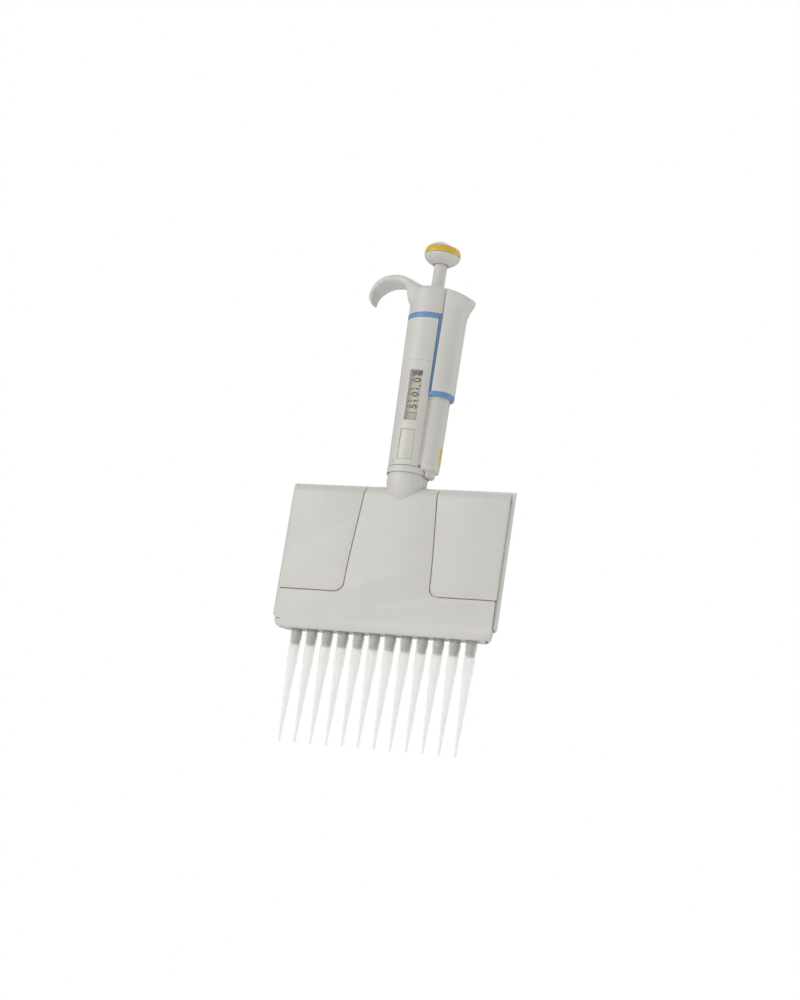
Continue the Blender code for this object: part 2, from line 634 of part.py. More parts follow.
def build_frame():
    """Fixed frame of the head: top frame, swivel tube, cylinder block and guides."""
    frame = solid("top_frame", box(FRAME_X, FRAME_Y, FRAME_Z), POM, "head")
    cut(frame, rod(120.0, 129.0, ROD_R + GAP, 16))
    # room for the lowered shell
    cut(frame, box((-21.2, 21.2), (-5.0, -1.7), (125.8, 129.0)))
    solid("swivel_tube", turned([
        (127.3, SWIVEL_LOW_R), (139.2, SWIVEL_LOW_R), (139.2, SWIVEL_R), (156.8, SWIVEL_R),
        (156.8, 8.6), (160.0, 8.6), (160.0, 6.0), (141.0, 6.0), (141.0, ROD_R + 0.4),
        (127.3, ROD_R + 0.4)], 24), POM, "head")
    block = solid("cylinder_block", box(FRAME_X, FRAME_Y, BLOCK_Z), POM, "head")
    bore_channels(block, 78.0, 90.0)
    for name, side in SIDES:
        centre = (side * GUIDE_X, 0.0)
        solid(f"guide_rod_{name}", rod(BLOCK_Z[1] + GAP, FRAME_Z[0] - GAP, GUIDE_R, 8, centre),
              STEEL, "head")
        solid(f"bar_spring_{name}", coil(86.5, RACK_Z[0] - GAP, radius=1.75, wire=0.28, turns=6,
                                         per_turn=6, centre=centre), STEEL, "head")


def build_rack():
    """The bar with its twelve pistons."""
    rack = solid("piston_rack", box((-56.0, 56.0), (-3.0, 3.0), RACK_Z), STEEL, "rack")
    for x in CHANNEL_X:
        join(rack, rod(88.0, 114.0, 1.26, 8, (x, 0.0)))
    for _, side in SIDES:
        cut(rack, rod(110.0, 118.0, GUIDE_R + RUNNING_GAP, 8, (side * GUIDE_X, 0.0)))


def build_channels():
    """Tip cones with their cylinders, and the tips on them."""
    for number, x in enumerate(CHANNEL_X, 1):
        solid(f"tip_cone_{number:02d}", turned(CONE_PROFILE, 10, (x, 0.0)), CONE, "head")
        solid(f"tip_{number:02d}", turned(TIP_OUTER + TIP_INNER, 10, (x, 0.0)), TIP, "tips")


build_housing()
build_housing_fittings()
build_blowout_stage()
build_plunger()
build_button()
build_volume_setting()
build_counter()
build_key()
build_key_trim()
build_slider()
build_ejector_spring()
build_ejector_shell()
build_stripper()
build_side_panels()
build_rear_cover()
build_frame()
build_rack()
build_channels()
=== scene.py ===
"""Looks of a twelve-channel pipette, built around its CAD pieces.

It stands upright: Z runs up from the tips through the head to the button, X along the row
of tips, and -Y is the front. The ejector key is at +X of the handle, the finger hook at -X.
Lengths are in millimetres and become metres when a mesh is made.
"""

import math

import bmesh
import bpy
from mathutils import Matrix, Vector


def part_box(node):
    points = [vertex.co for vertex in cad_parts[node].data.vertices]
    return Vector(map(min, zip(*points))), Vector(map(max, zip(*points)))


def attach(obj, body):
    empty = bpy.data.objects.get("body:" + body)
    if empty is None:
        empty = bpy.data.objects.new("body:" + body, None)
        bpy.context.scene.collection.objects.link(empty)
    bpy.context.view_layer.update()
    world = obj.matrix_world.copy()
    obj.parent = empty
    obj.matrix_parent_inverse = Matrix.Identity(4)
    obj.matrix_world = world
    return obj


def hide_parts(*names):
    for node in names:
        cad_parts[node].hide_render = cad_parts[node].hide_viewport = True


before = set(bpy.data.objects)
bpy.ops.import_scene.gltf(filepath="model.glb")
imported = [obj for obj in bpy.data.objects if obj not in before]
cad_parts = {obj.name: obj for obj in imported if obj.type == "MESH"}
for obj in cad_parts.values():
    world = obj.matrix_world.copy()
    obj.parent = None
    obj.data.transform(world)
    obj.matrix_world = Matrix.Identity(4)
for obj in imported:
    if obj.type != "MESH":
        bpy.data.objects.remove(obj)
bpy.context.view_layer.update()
MM = 0.001
TAU = 2 * math.pi
bpy.context.scene.view_settings.view_transform = "Standard"
bpy.context.scene.view_settings.look = "None"


def span(node):
    """(lowest, highest) corner of a CAD node in millimetres."""
    low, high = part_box(node)
    return Vector(low) / MM, Vector(high) / MM


# ------------------------------------------------------------------ dimensions
# handle
BODY_FOOT, BODY_TOP = span("handle_housing")[0].z, 247.9
BODY_R = 13.0
BORE_R = 9.6
SEAM_Z = 206.0
RING_LO, RING_HI = span("trim_ring")
RING_Z0, RING_Z1 = RING_LO.z - 0.2, RING_HI.z + 0.2  # groove of the coloured ring
LENS_LO, LENS_HI = span("window_lens")
LABEL_LO, LABEL_HI = span("type_label")
RECESS_GAP = 0.3  # round the window and the label
STEM_FOOT = span("button_stem")[0].z

# ejector key and slider
KEY_LO = span("ejector_key")[0]
TRIM_LO, TRIM_HI = span("key_trim")
SLIDER_LO, SLIDER_HI = span("ejector_slider")
KEY_C = 10.3  # x of the centre of the key's and slider's rounding
KEY_PLANE = KEY_LO.x - 0.3  # x where housing and key meet
SIDE_CHORD = 8.1  # x where the lower housing ends, beside the key's coloured edge

# head
SHELL_LO, SHELL_HI = span("ejector_shell")
PANEL_LO, PANEL_HI = span("right_panel")
REAR_LO, REAR_HI = span("rear_cover")
FRONT = PANEL_LO.y
SKIN = 1.6  # thickness of the front skins
HEAD_TOP = REAR_HI.z
NECK_R, NECK_TOP = 10.7, SHELL_HI.z
BAND_FOOT, BAND_TOP = SHELL_LO.z, PANEL_LO.z - 0.5  # wide foot of the ejector shell
HALF_BAND = SHELL_HI.x
HALF_FRONT = PANEL_HI.x
HALF_REAR, REAR_FOOT = REAR_HI.x, REAR_LO.z
PANEL_GAP = 0.5  # between ejector shell and side panels
TOP_ROUND = 6.5  # roll from the front into the top
FILLET_FOOT = HEAD_TOP - TOP_ROUND

# tips
CHANNELS = [(lo.x + hi.x) / 2 for lo, hi in (span(f"tip_{i:02d}") for i in range(1, 13))]
TIP_TOP = span("tip_01")[1].z
CONE_END = span("tip_cone_01")[0].z

# z, outer radius of the housing
BODY_RADII = [(149.2, 11.3), (193.0, 12.1), (212.0, 12.6), (230.0, BODY_R), (252.0, BODY_R)]
# z, half width of the ejector shell's upright part
STEM_EDGE = [(70.0, 24.6), (79.0, 24.3), (90.0, 23.95), (100.0, 23.3), (110.0, 22.5),
             (124.0, 21.35), (133.0, 20.6), (138.0, 20.2)]


def along(table, z):
    """Value at z on straight lines between (z, value) stations, held beyond both ends."""
    for (z0, v0), (z1, v1) in zip(table, table[1:]):
        if z <= z1:
            return v0 + (v1 - v0) * max(0.0, z - z0) / (z1 - z0)
    return table[-1][1]


def radius_at(z):
    return along(BODY_RADII, z)


def stem_edge(z):
    return along(STEM_EDGE, z)


# ------------------------------------------------------------------- materials
def new_material(name):
    mat = bpy.data.materials.new(name)
    mat.use_nodes = True
    tree = mat.node_tree
    return mat, tree, tree.nodes["Principled BSDF"]


def feed(tree, socket, value):
    """Links a socket to an output, or sets its value."""
    if isinstance(value, bpy.types.NodeSocket):
        tree.links.new(value, socket)
    else:
        socket.default_value = value


def add(tree, kind, **values):
    """A node whose inputs and settings are given by name."""
    node = tree.nodes.new(kind)
    for key, value in values.items():
        if key in node.inputs:
            feed(tree, node.inputs[key], value)
        else:
            setattr(node, key, value)
    return node


def noise(tree, vector, **values):
    return add(tree, "ShaderNodeTexNoise", Vector=vector, **values).outputs["Fac"]


def stretched(tree, scale):
    """Object coordinates scaled per axis."""
    coord = add(tree, "ShaderNodeTexCoord")
    mapping = add(tree, "ShaderNodeMapping", Scale=scale, Vector=coord.outputs["Object"])
    return coord, mapping.outputs[0]


def ramp(tree, source, *stops):
    """Two-stop colour ramp; a stop is (place, colour)."""
    node = tree.nodes.new("ShaderNodeValToRGB")
    for point, (place, colour) in zip(node.color_ramp.elements, stops):
        point.position = place
        point.color = (*colour, 1.0)
    tree.links.new(source, node.inputs[0])
    return node.outputs[0]


def remap(tree, source, to_range, from_range=(0.0, 1.0)):
    node = add(tree, "ShaderNodeMapRange", Value=source)
    for key, pair in (("From", from_range), ("To", to_range)):
        for end, value in zip(("Min", "Max"), pair):
            node.inputs[f"{key} {end}"].default_value = value
    return node.outputs[0]


def mix_colours(tree, factor, first, second, blend="MIX"):
    node = add(tree, "ShaderNodeMix", data_type="RGBA", blend_type=blend)
    for index, value in ((0, factor), (6, first), (7, second)):  # colour sockets are 6 and 7
        feed(tree, node.inputs[index], value)
    return node.outputs[2]


def calculate(tree, operation, first, second):
    node = add(tree, "ShaderNodeMath", operation=operation)
    feed(tree, node.inputs[0], first)
    feed(tree, node.inputs[1], second)
    return node.outputs[0]


def relief(tree, bsdf, height, strength, distance):
    bump = add(tree, "ShaderNodeBump", Strength=strength, Distance=distance, Height=height)
    tree.links.new(bump.outputs[0], bsdf.inputs["Normal"])


def plastic(name, rgb, rough=0.42, bump=0.05, drift=0.035, wear=0.03, coat=0.0):
    """Moulded plastic: slow tone drift, fine grain, faint rub marks and paler edges."""
    mat, tree, bsdf = new_material(name)
    coord = add(tree, "ShaderNodeTexCoord").outputs["Object"]
    slow = noise(tree, coord, Scale=38.0, Detail=3.0, Roughness=0.55)
    flow = noise(tree, coord, Scale=420.0, Detail=4.0, Roughness=0.6)
    base = ramp(tree, slow, (0.3, tuple(c * (1 - drift) for c in rgb)),
                (0.7, tuple(min(1.0, c * (1 + drift * 0.8)) for c in rgb)))
    tone = ramp(tree, flow, (0.25, (0.965, 0.965, 0.96)), (0.75, (1.0, 1.0, 1.0)))
    mottled = mix_colours(tree, 0.6, base, tone, blend="MULTIPLY")
    geometry = add(tree, "ShaderNodeNewGeometry")
    edge = ramp(tree, geometry.outputs["Pointiness"], (0.505, (0.0,) * 3), (0.56, (1.0,) * 3))
    edge_wear = calculate(tree, "MULTIPLY", edge, wear * 8)
    paler = (*(min(1.0, c * 1.12 + 0.02) for c in rgb), 1.0)
    feed(tree, bsdf.inputs["Base Color"], mix_colours(tree, edge_wear, mottled, paler))
    grain = noise(tree, coord, Scale=2600.0, Detail=2.0, Roughness=0.5)
    rubs = noise(tree, coord, Scale=95.0, Detail=6.0, Roughness=0.7, Distortion=0.4)
    gloss = remap(tree, rubs, to_range=(rough - 0.05, rough + 0.06), from_range=(0.3, 0.7))
    feed(tree, bsdf.inputs["Roughness"], gloss)
    relief(tree, bsdf, grain, strength=bump, distance=0.00003)
    bsdf.inputs["Specular IOR Level"].default_value = 0.42
    if coat:
        bsdf.inputs["Coat Weight"].default_value = coat
        bsdf.inputs["Coat Roughness"].default_value = 0.2
    return mat


def metal(name, rgb, rough, marks_scale):
    """Metal with fine marks drawn out by a scale per axis."""
    mat, tree, bsdf = new_material(name)
    _, vector = stretched(tree, marks_scale)
    marks = noise(tree, vector, Scale=1.0, Detail=3.0, Roughness=0.6)
    tone = ramp(tree, marks, (0.3, tuple(c * 0.86 for c in rgb)), (0.7, rgb))
    feed(tree, bsdf.inputs["Base Color"], tone)
    gloss = remap(tree, marks, to_range=(rough - 0.08, rough + 0.12))
    feed(tree, bsdf.inputs["Roughness"], gloss)
    relief(tree, bsdf, marks, strength=0.12, distance=0.00002)
    bsdf.inputs["Metallic"].default_value = 1.0
    return mat


def thin_wall(name, rgb, clear_mid, clear_edge, rough, bump, bump_depth):
    """Shared part of the see-through walls: upright flow lines, and cover that grows
    from face-on to edge-on."""
    mat, tree, bsdf = new_material(name)
    coord, vector = stretched(tree, (420.0, 420.0, 14.0))
    lines = noise(tree, vector, Scale=1.0, Detail=3.0, Roughness=0.55)
    tone = ramp(tree, lines, (0.3, tuple(c * 0.965 for c in rgb)), (0.7, rgb))
    bsdf.inputs["Roughness"].default_value = rough
    bsdf.inputs["IOR"].default_value = 1.5
    bsdf.inputs["Specular IOR Level"].default_value = 0.5
    relief(tree, bsdf, lines, strength=bump, distance=bump_depth)
    facing = add(tree, "ShaderNodeLayerWeight", Blend=0.35).outputs["Facing"]
    cover = remap(tree, facing, to_range=(1 - clear_mid, 1 - clear_edge))
    return mat, tree, bsdf, coord, tone, facing, cover


def window_material():
    mat, tree, bsdf, _, tone, _, cover = thin_wall(
        "window_clear", rgb=(0.86, 0.86, 0.82), clear_mid=0.93, clear_edge=0.55,
        rough=0.08, bump=0.01, bump_depth=0.00003)
    feed(tree, bsdf.inputs["Base Color"], tone)
    feed(tree, bsdf.inputs["Alpha"], cover)
    return mat


def tip_material():
    """Milky wall that changes cover at the cone's end, with painted shade that darkens its
    colour edge-on.
    """
    mat, tree, bsdf, coord, tone, facing, cover = thin_wall(
        "tip_polypropylene", rgb=(0.88, 0.872, 0.84), clear_mid=0.76, clear_edge=0.30,
        rough=0.5, bump=0.012, bump_depth=0.00001)
    parts = add(tree, "ShaderNodeSeparateXYZ", Vector=coord.outputs["Object"])
    below_cone = remap(tree, parts.outputs["Z"], to_range=(1.0, 0.0),
                       from_range=((CONE_END - 0.3) / 1000, (CONE_END + 0.3) / 1000))
    milky = add(tree, "ShaderNodeMix", data_type="FLOAT")
    # float sockets: 0 factor, 2 cover round the cone, 3 cover below it
    for index, value in ((0, below_cone), (2, cover), (3, 0.52)):
        feed(tree, milky.inputs[index], value)
    # only faces turned to the viewer cover
    geometry = add(tree, "ShaderNodeNewGeometry")
    front = calculate(tree, "SUBTRACT", 1.0, geometry.outputs["Backfacing"])
    alpha = calculate(tree, "MULTIPLY", milky.outputs[0], front)
    feed(tree, bsdf.inputs["Alpha"], alpha)
    # painted shade: the colour is darkened where the wall turns edge-on
    edge_on_painted_shade = remap(tree, facing, to_range=(0.0, 1.0), from_range=(0.55, 0.95))
    shade = mix_colours(tree, edge_on_painted_shade, tone, (0.36, 0.36, 0.35, 1.0), blend="MULTIPLY")
    feed(tree, bsdf.inputs["Base Color"], shade)
    return mat


SHELL = plastic("shell_plastic", rgb=(0.592, 0.574, 0.538), rough=0.40)
PANEL = plastic("shell_plastic_panels", rgb=(0.586, 0.569, 0.533), rough=0.41)
COVER = plastic("cover_plastic", rgb=(0.578, 0.562, 0.518), rough=0.42)
plastic("collar_plastic", rgb=(0.600, 0.580, 0.535), rough=0.38)  # spare tone, on no piece
BUTTON = plastic("button_plastic", rgb=(0.588, 0.575, 0.532), rough=0.36)
YELLOW = plastic("colour_code_yellow", rgb=(0.640, 0.430, 0.035), rough=0.32, coat=0.25,
                 drift=0.05)
BLUE = plastic("trim_blue", rgb=(0.125, 0.270, 0.500), rough=0.36, drift=0.06)
CONE = plastic("cone_grey", rgb=(0.385, 0.385, 0.365), rough=0.45, bump=0.12)
# pale olive for the lips behind the head's gaps: painted light that lightens the shade in the
# gaps
GAP_LIP_PAINTED_LIGHT = plastic("gap_lip_painted_light", rgb=(0.860, 0.830, 0.600), rough=0.6)
# near-black used as painted shade: the disc in the small recess and the hood over the counter
PAINTED_SHADE = plastic("seam_shadow", rgb=(0.060, 0.060, 0.050), rough=0.7)
TIP = tip_material()
WINDOW = window_material()
IVORY = plastic("counter_ivory", rgb=(0.600, 0.585, 0.430), rough=0.5, drift=0.06, bump=0.02)
TAN = plastic("counter_tan", rgb=(0.560, 0.490, 0.320), rough=0.55, drift=0.06)
INK = plastic("digit_ink", rgb=(0.018, 0.018, 0.018), rough=0.5, drift=0.15, bump=0.01,
              wear=0.0)
RED = plastic("marker_red", rgb=(0.620, 0.030, 0.060), rough=0.45, drift=0.08, bump=0.01,
              wear=0.0)
LABEL = plastic("label_film", rgb=(0.560, 0.548, 0.490), rough=0.30, drift=0.02, bump=0.02,
                coat=0.2)
TURNED_MARKS = (60.0, 60.0, 5200.0)  # fine rings round the Z axis
DRAWN_MARKS = (900.0, 900.0, 60.0)  # lines along Z
STEEL = metal("ground_steel", rgb=(0.60, 0.60, 0.61), rough=0.24, marks_scale=TURNED_MARKS)
SPRING = metal("spring_wire", rgb=(0.52, 0.52, 0.53), rough=0.3, marks_scale=DRAWN_MARKS)
BRASS = metal("turned_brass", rgb=(0.62, 0.45, 0.17), rough=0.28, marks_scale=TURNED_MARKS)
ACETAL = plastic("acetal_natural", rgb=(0.74, 0.74, 0.70), rough=0.35, drift=0.02, bump=0.08)


# --------------------------------------------------------------- mesh toolbox
def shade(mesh, sharp):
    mesh.shade_smooth()
    mesh.set_sharp_from_angle(angle=math.radians(sharp))


def make_object(bm, name, mat=None, sharp=32.0, flip_check=True):
    """Turns a millimetre bmesh into a scene object; edges above sharp degrees stay hard."""
    bmesh.ops.remove_doubles(bm, verts=bm.verts, dist=1e-5)
    bmesh.ops.recalc_face_normals(bm, faces=bm.faces)
    if flip_check and bm.calc_volume(signed=True) < 0:
        bmesh.ops.reverse_faces(bm, faces=bm.faces)
    bmesh.ops.scale(bm, vec=(MM, MM, MM), verts=bm.verts)
    mesh = bpy.data.meshes.new(name)
    bm.to_mesh(mesh)
    bm.free()
    shade(mesh, sharp)
    obj = bpy.data.objects.new(name, mesh)
    bpy.context.scene.collection.objects.link(obj)
    if mat:
        mesh.materials.append(mat)
    return obj


def install(obj, body, node=None):
    """Puts an object on a moving body, in place of a CAD node if given."""
    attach(obj, body)
    if node:
        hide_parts(node)


def combine(obj, tool_mesh, operation, sharp):
    tool = make_object(tool_mesh, "tool")
    step = obj.modifiers.new("step", "BOOLEAN")
    step.operation = operation
    step.solver = "EXACT"
    step.object = tool
    graph = bpy.context.evaluated_depsgraph_get()
    made = bpy.data.meshes.new_from_object(obj.evaluated_get(graph),
                                           preserve_all_data_layers=True, depsgraph=graph)
    old = obj.data
    obj.modifiers.clear()
    obj.data = made
    made.name = old.name
    bpy.data.meshes.remove(old)
    mesh = tool.data
    bpy.data.objects.remove(tool)
    bpy.data.meshes.remove(mesh)
    shade(obj.data, sharp)


def cut(obj, tool_mesh, sharp=40.0):
    combine(obj, tool_mesh, "DIFFERENCE", sharp)


def join(obj, tool_mesh, sharp=40.0):
    combine(obj, tool_mesh, "UNION", sharp)


def loft(rings):
    """Skin over rings with equal point counts, closed at both ends."""
    bm = bmesh.new()
    rows = [[bm.verts.new(p) for p in ring] for ring in rings]
    count = len(rows[0])
    for a, b in zip(rows, rows[1:]):
        for j in range(count):
            k = (j + 1) % count
            bm.faces.new((a[j], a[k], b[k], b[j]))
    bm.faces.new(list(reversed(rows[0])))
    bm.faces.new(rows[-1])
    return bm


def turned(profile, segments=96, at_x=0.0, shape=None):
    """A turned body from (z, r). Ends with r 0 close on the axis; otherwise the profile is
    a loop round a bore. shape(angle, z, r) may change the radius."""
    bm = bmesh.new()
    rows = []
    for z, r in profile:
        if r == 0:
            rows.append([bm.verts.new((at_x, 0.0, z))])
            continue
        row = []
        for j in range(segments):
            angle = TAU * j / segments
            reach = shape(angle, z, r) if shape else r
            row.append(bm.verts.new((at_x + reach * math.cos(angle),
                                     reach * math.sin(angle), z)))
        rows.append(row)
    is_loop = profile[0][1] != 0
    for i in range(len(rows) if is_loop else len(rows) - 1):
        a, b = rows[i], rows[(i + 1) % len(rows)]
        for j in range(segments):
            k = (j + 1) % segments
            if len(a) == 1:
                bm.faces.new((a[0], b[k], b[j]))
            elif len(b) == 1:
                bm.faces.new((a[j], a[k], b[0]))
            else:
                bm.faces.new((a[j], a[k], b[k], b[j]))
    return bm


def rod(z0, z1, radius, segments=96):
    return turned([(z0, 0), (z0, radius), (z1, radius), (z1, 0)], segments)


def soften(points, radius, steps=4, closed=True):
    """Rounds the corners of a polyline of 2D points, each by at most radius."""
    found = []
    total = len(points)
    for i, point in enumerate(points):
        if not closed and i in (0, total - 1):
            found.append(point)
            continue
        corner = Vector(point)
        u = Vector(points[i - 1]) - corner
        v = Vector(points[(i + 1) % total]) - corner
        if u.length < 1e-6 or v.length < 1e-6:
            found.append(point)
            continue
        reach = min(radius, 0.45 * u.length, 0.45 * v.length)
        u.normalize()
        v.normalize()
        half_angle = u.angle(v) / 2
        if half_angle > math.radians(86):
            found.append(point)
            continue
        centre = corner + (u + v).normalized() * (reach / math.cos(half_angle))
        start, stop = corner + u * reach - centre, corner + v * reach - centre
        swing = start.angle(stop)
        side = 1 if start.cross(stop) > 0 else -1
        for k in range(steps + 1):
            t = side * swing * k / steps
            found.append((centre.x + start.x * math.cos(t) - start.y * math.sin(t),
                          centre.y + start.x * math.sin(t) + start.y * math.cos(t)))
    return found


def eased(points, radius, steps):
    """Rounds the inner corners of an open polyline, always with the same point count."""
    found = [points[0]]
    for before, corner, after in zip(points, points[1:], points[2:]):
        corner = Vector(corner)
        u, v = Vector(before) - corner, Vector(after) - corner
        reach = min(radius, 0.45 * u.length, 0.45 * v.length)
        a, b = corner + u.normalized() * reach, corner + v.normalized() * reach
        for k in range(steps + 1):
            t = k / steps
            found.append(tuple(a * (1 - t) ** 2 + corner * (2 * t * (1 - t)) + b * t * t))
    found.append(points[-1])
    return found


def mirrored(right, z):
    """Level ring from its right half, whose ends lie on the YZ plane."""
    return [(x, y, z) for x, y in right] + [(-x, y, z) for x, y in reversed(right[1:-1])]


def prism_x(section, x0, x1):
    """(y, z) section drawn out along X."""
    return loft([[(x, y, z) for y, z in section] for x in (x0, x1)])


def prism_y(section, y0, y1):
    """(x, z) section drawn out along Y."""
    return loft([[(x, y, z) for x, z in section] for y in (y0, y1)])


def box_mesh(x0, x1, y0, y1, z0, z1):
    return loft([[(x0, y0, z), (x1, y0, z), (x1, y1, z), (x0, y1, z)] for z in (z0, z1)])


def round_box(x0, x1, y0, y1, z0, z1, radius, steps=3):
    """A box whose upright edges and rims are rounded."""
    def ring(shrink, z):
        r = max(radius - shrink, 0.01)
        left, right = x0 + shrink + r, x1 - shrink - r
        near, far = y0 + shrink + r, y1 - shrink - r
        points = []
        for cx, cy, start in ((right, near, -90), (right, far, 0),
                              (left, far, 90), (left, near, 180)):
            for k in range(steps + 1):
                a = math.radians(start + 90 * k / steps)
                points.append((cx + r * math.cos(a), cy + r * math.sin(a), z))
        return points
    angles = [math.radians(90 * k / steps) for k in range(steps + 1)]
    return loft([ring(radius * (1 - math.sin(a)), z0 + radius * (1 - math.cos(a)))
                 for a in angles]
                + [ring(radius * (1 - math.cos(a)), z1 - radius * (1 - math.sin(a)))
                   for a in angles])


def signed_area(points):
    return 0.5 * sum(a[0] * b[1] - b[0] * a[1] for a, b in zip(points, points[1:] + points[:1]))


def inset(points, widths):
    """Moves each point of a counter-clockwise outline inwards by its width."""
    found = []
    total = len(points)
    for i, c in enumerate(points):
        p, q = points[i - 1], points[(i + 1) % total]
        e1 = Vector((c[0] - p[0], c[1] - p[1])).normalized()
        e2 = Vector((q[0] - c[0], q[1] - c[1])).normalized()
        n1, n2 = Vector((-e1.y, e1.x)), Vector((-e2.y, e2.x))
        n = (n1 + n2) / max(0.35, 1 + n1.dot(n2))
        found.append((c[0] + n.x * widths[i], c[1] + n.y * widths[i]))
    return found


def curve_points(keys, count):
    """Catmull-Rom through tuples of numbers."""
    found = []
    n = len(keys) - 1
    for i in range(count + 1):
        t = n * i / count
        k = min(int(t), n - 1)
        f = t - k
        p = [keys[max(0, min(n, k + d))] for d in (-1, 0, 1, 2)]
        found.append(tuple(
            0.5 * (2 * b + (c - a) * f + (2 * a - 5 * b + 4 * c - d) * f * f
                   + (3 * b - a - 3 * c + d) * f ** 3)
            for a, b, c, d in zip(*p)))
    return found


def arc_front(x0, x1, radius, count=12):
    """Points on the front of a circle about the handle's axis, from x0 to x1."""
    xs = [x0 + (x1 - x0) * i / count for i in range(count + 1)]
    return [(x, -math.sqrt(radius ** 2 - x ** 2)) for x in xs]


# ==================================================================== HANDLE
def body_section(radius, chord, z, count=121):
    """Circle cut off by a straight chord on its +X side."""
    start = math.acos(min(0.999, chord / radius))
    angles = [start + (TAU - 2 * start) * i / (count - 1) for i in range(count)]
    return [(radius * math.cos(a), radius * math.sin(a), z) for a in angles]


# housing: round body with a shallow draft, cut flat towards the ejector key
SEAM_R = radius_at(SEAM_Z)
RING_GROOVE_R = 12.25
lower = [(BODY_FOOT, 10.95), (BODY_FOOT + 0.1, 11.15), (BODY_FOOT + 0.3, 11.27),
         (BODY_FOOT + 0.6, 11.3)]
lower += [(z, radius_at(z)) for z in (158, 166, 174, 182, 190, 196, 201, 205.6)]
lower += [(205.85, SEAM_R), (205.95, SEAM_R - 0.14), (206.1, SEAM_R - 0.14), (206.2, SEAM_R)]
lower += [(z, radius_at(z)) for z in (212, 219, 225)]
lower += [(RING_Z0 - 0.16, BODY_R), (RING_Z0, 12.88), (RING_Z0 + 0.01, RING_GROOVE_R),
          (RING_Z1 - 0.01, RING_GROOVE_R), (RING_Z1, 12.88), (RING_Z1 + 0.16, BODY_R)]
upper = [(RING_Z1 + 0.25, BODY_R), (240.0, BODY_R), (244.5, BODY_R), (BODY_TOP - 2.0, 12.96),
         (BODY_TOP - 1.1, 12.75), (BODY_TOP - 0.45, 12.35), (BODY_TOP - 0.12, 11.8),
         (BODY_TOP, 11.1), (BODY_TOP, 9.5)]
housing = make_object(loft([body_section(r, SIDE_CHORD, z) for z, r in lower]
                           + [body_section(r, KEY_PLANE, z) for z, r in upper]),
                      "handle_body", SHELL)

# finger hook: x, z of the top line; x, z of the under line; half width
HOOK = [
    (-1.5, 248.0, -1.5, 236.0, 10.6), (-5.0, 250.1, -5.0, 237.0, 10.3),
    (-8.5, 251.9, -9.0, 237.6, 9.9), (-11.8, 253.6, -12.4, 239.4, 9.4),
    (-14.2, 254.7, -13.9, 244.6, 8.8), (-16.8, 255.6, -15.3, 248.2, 8.3),
    (-19.4, 256.2, -17.6, 250.5, 8.0), (-22.0, 256.5, -20.9, 251.8, 7.8),
    (-27.0, 255.9, -26.2, 251.9, 7.6), (-30.8, 254.5, -29.2, 251.0, 7.3),
    (-34.3, 252.0, -31.6, 249.4, 6.7), (-36.9, 248.2, -34.1, 247.0, 5.9),
    (-38.0, 244.4, -35.2, 243.9, 4.9), (-37.3, 242.0, -35.3, 241.6, 3.8),
    (-36.3, 240.5, -35.3, 240.3, 2.5)]


def hook_section(x1, z1, x0, z0, half, total=48, squareness=0.58):
    """A pillow-shaped section with well rounded edges."""
    thick = math.hypot(x1 - x0, z1 - z0)
    ux, uz = (x1 - x0) / thick, (z1 - z0) / thick
    ring = []
    for i in range(total):
        a = TAU * (i + 0.5) / total
        c, s = math.cos(a), math.sin(a)
        y = half * math.copysign(abs(c) ** squareness, c)
        t = 0.5 * thick * (1 + math.copysign(abs(s) ** squareness, s))
        ring.append((x0 + ux * t, y, z0 + uz * t))
    return ring


join(housing, loft([hook_section(*row) for row in curve_points(HOOK, 70)]), sharp=50)
# round wall behind the key, the cavity and the stem's hole
join(housing, rod(149.8, 247.75, 10.9), sharp=35)
cut(housing, rod(BODY_FOOT - 1, 245.0, BORE_R), sharp=50)
cut(housing, rod(243.0, 262.0, 3.92, segments=64), sharp=50)

# window opening, flared to the front
WX0, WX1 = LENS_LO.x - RECESS_GAP, LENS_HI.x + RECESS_GAP
WZ0, WZ1 = LENS_LO.z - RECESS_GAP, LENS_HI.z + RECESS_GAP
cut(housing, loft([[(WX0 - flare, y, WZ0 - flare), (WX1 + flare, y, WZ0 - flare),
                    (WX1 + flare, y, WZ1 + flare), (WX0 - flare, y, WZ1 + flare)]
                   for y, flare in ((-15.0, 1.2), (-12.3, 0.3), (-11.6, 0.02), (-8.0, 0.0))]),
    sharp=35)

# recess for the label
LX0, LX1 = LABEL_LO.x - RECESS_GAP, LABEL_HI.x + RECESS_GAP
label_cut = arc_front(LX0, LX1, 10.98) + [(LX1, -15.0), (LX0, -15.0)]
cut(housing, loft([[(x, y, z) for x, y in label_cut]
                   for z in (LABEL_LO.z - RECESS_GAP, LABEL_HI.z + RECESS_GAP)]), sharp=35)


def dimple_part(profile, reach):
    """Turned part laid outwards from the handle's axis, low on the front left."""
    bm = turned(profile, 24)
    place = (Matrix.Translation((0, 0, 150.6)) @ Matrix.Rotation(math.radians(-122.5), 4, "Z")
             @ Matrix.Translation((reach, 0, 0)) @ Matrix.Rotation(math.radians(90), 4, "Y"))
    bmesh.ops.transform(bm, verts=bm.verts, matrix=place)
    return bm


# small round recess; the near-black disc on its floor is painted shade
cut(housing, dimple_part([(0.0, 0), (0.0, 0.55), (0.9, 0.55), (1.4, 0.75), (3.0, 0.9),
                          (3.0, 0)], 10.3), sharp=35)
recess_painted_shade = make_object(
    dimple_part([(0.0, 0), (0.0, 0.52), (0.25, 0.5), (0.35, 0.3), (0.35, 0)], 10.31),
    "recess_painted_shade", PAINTED_SHADE)
install(recess_painted_shade, "handle")
install(housing, "handle", "handle_housing")

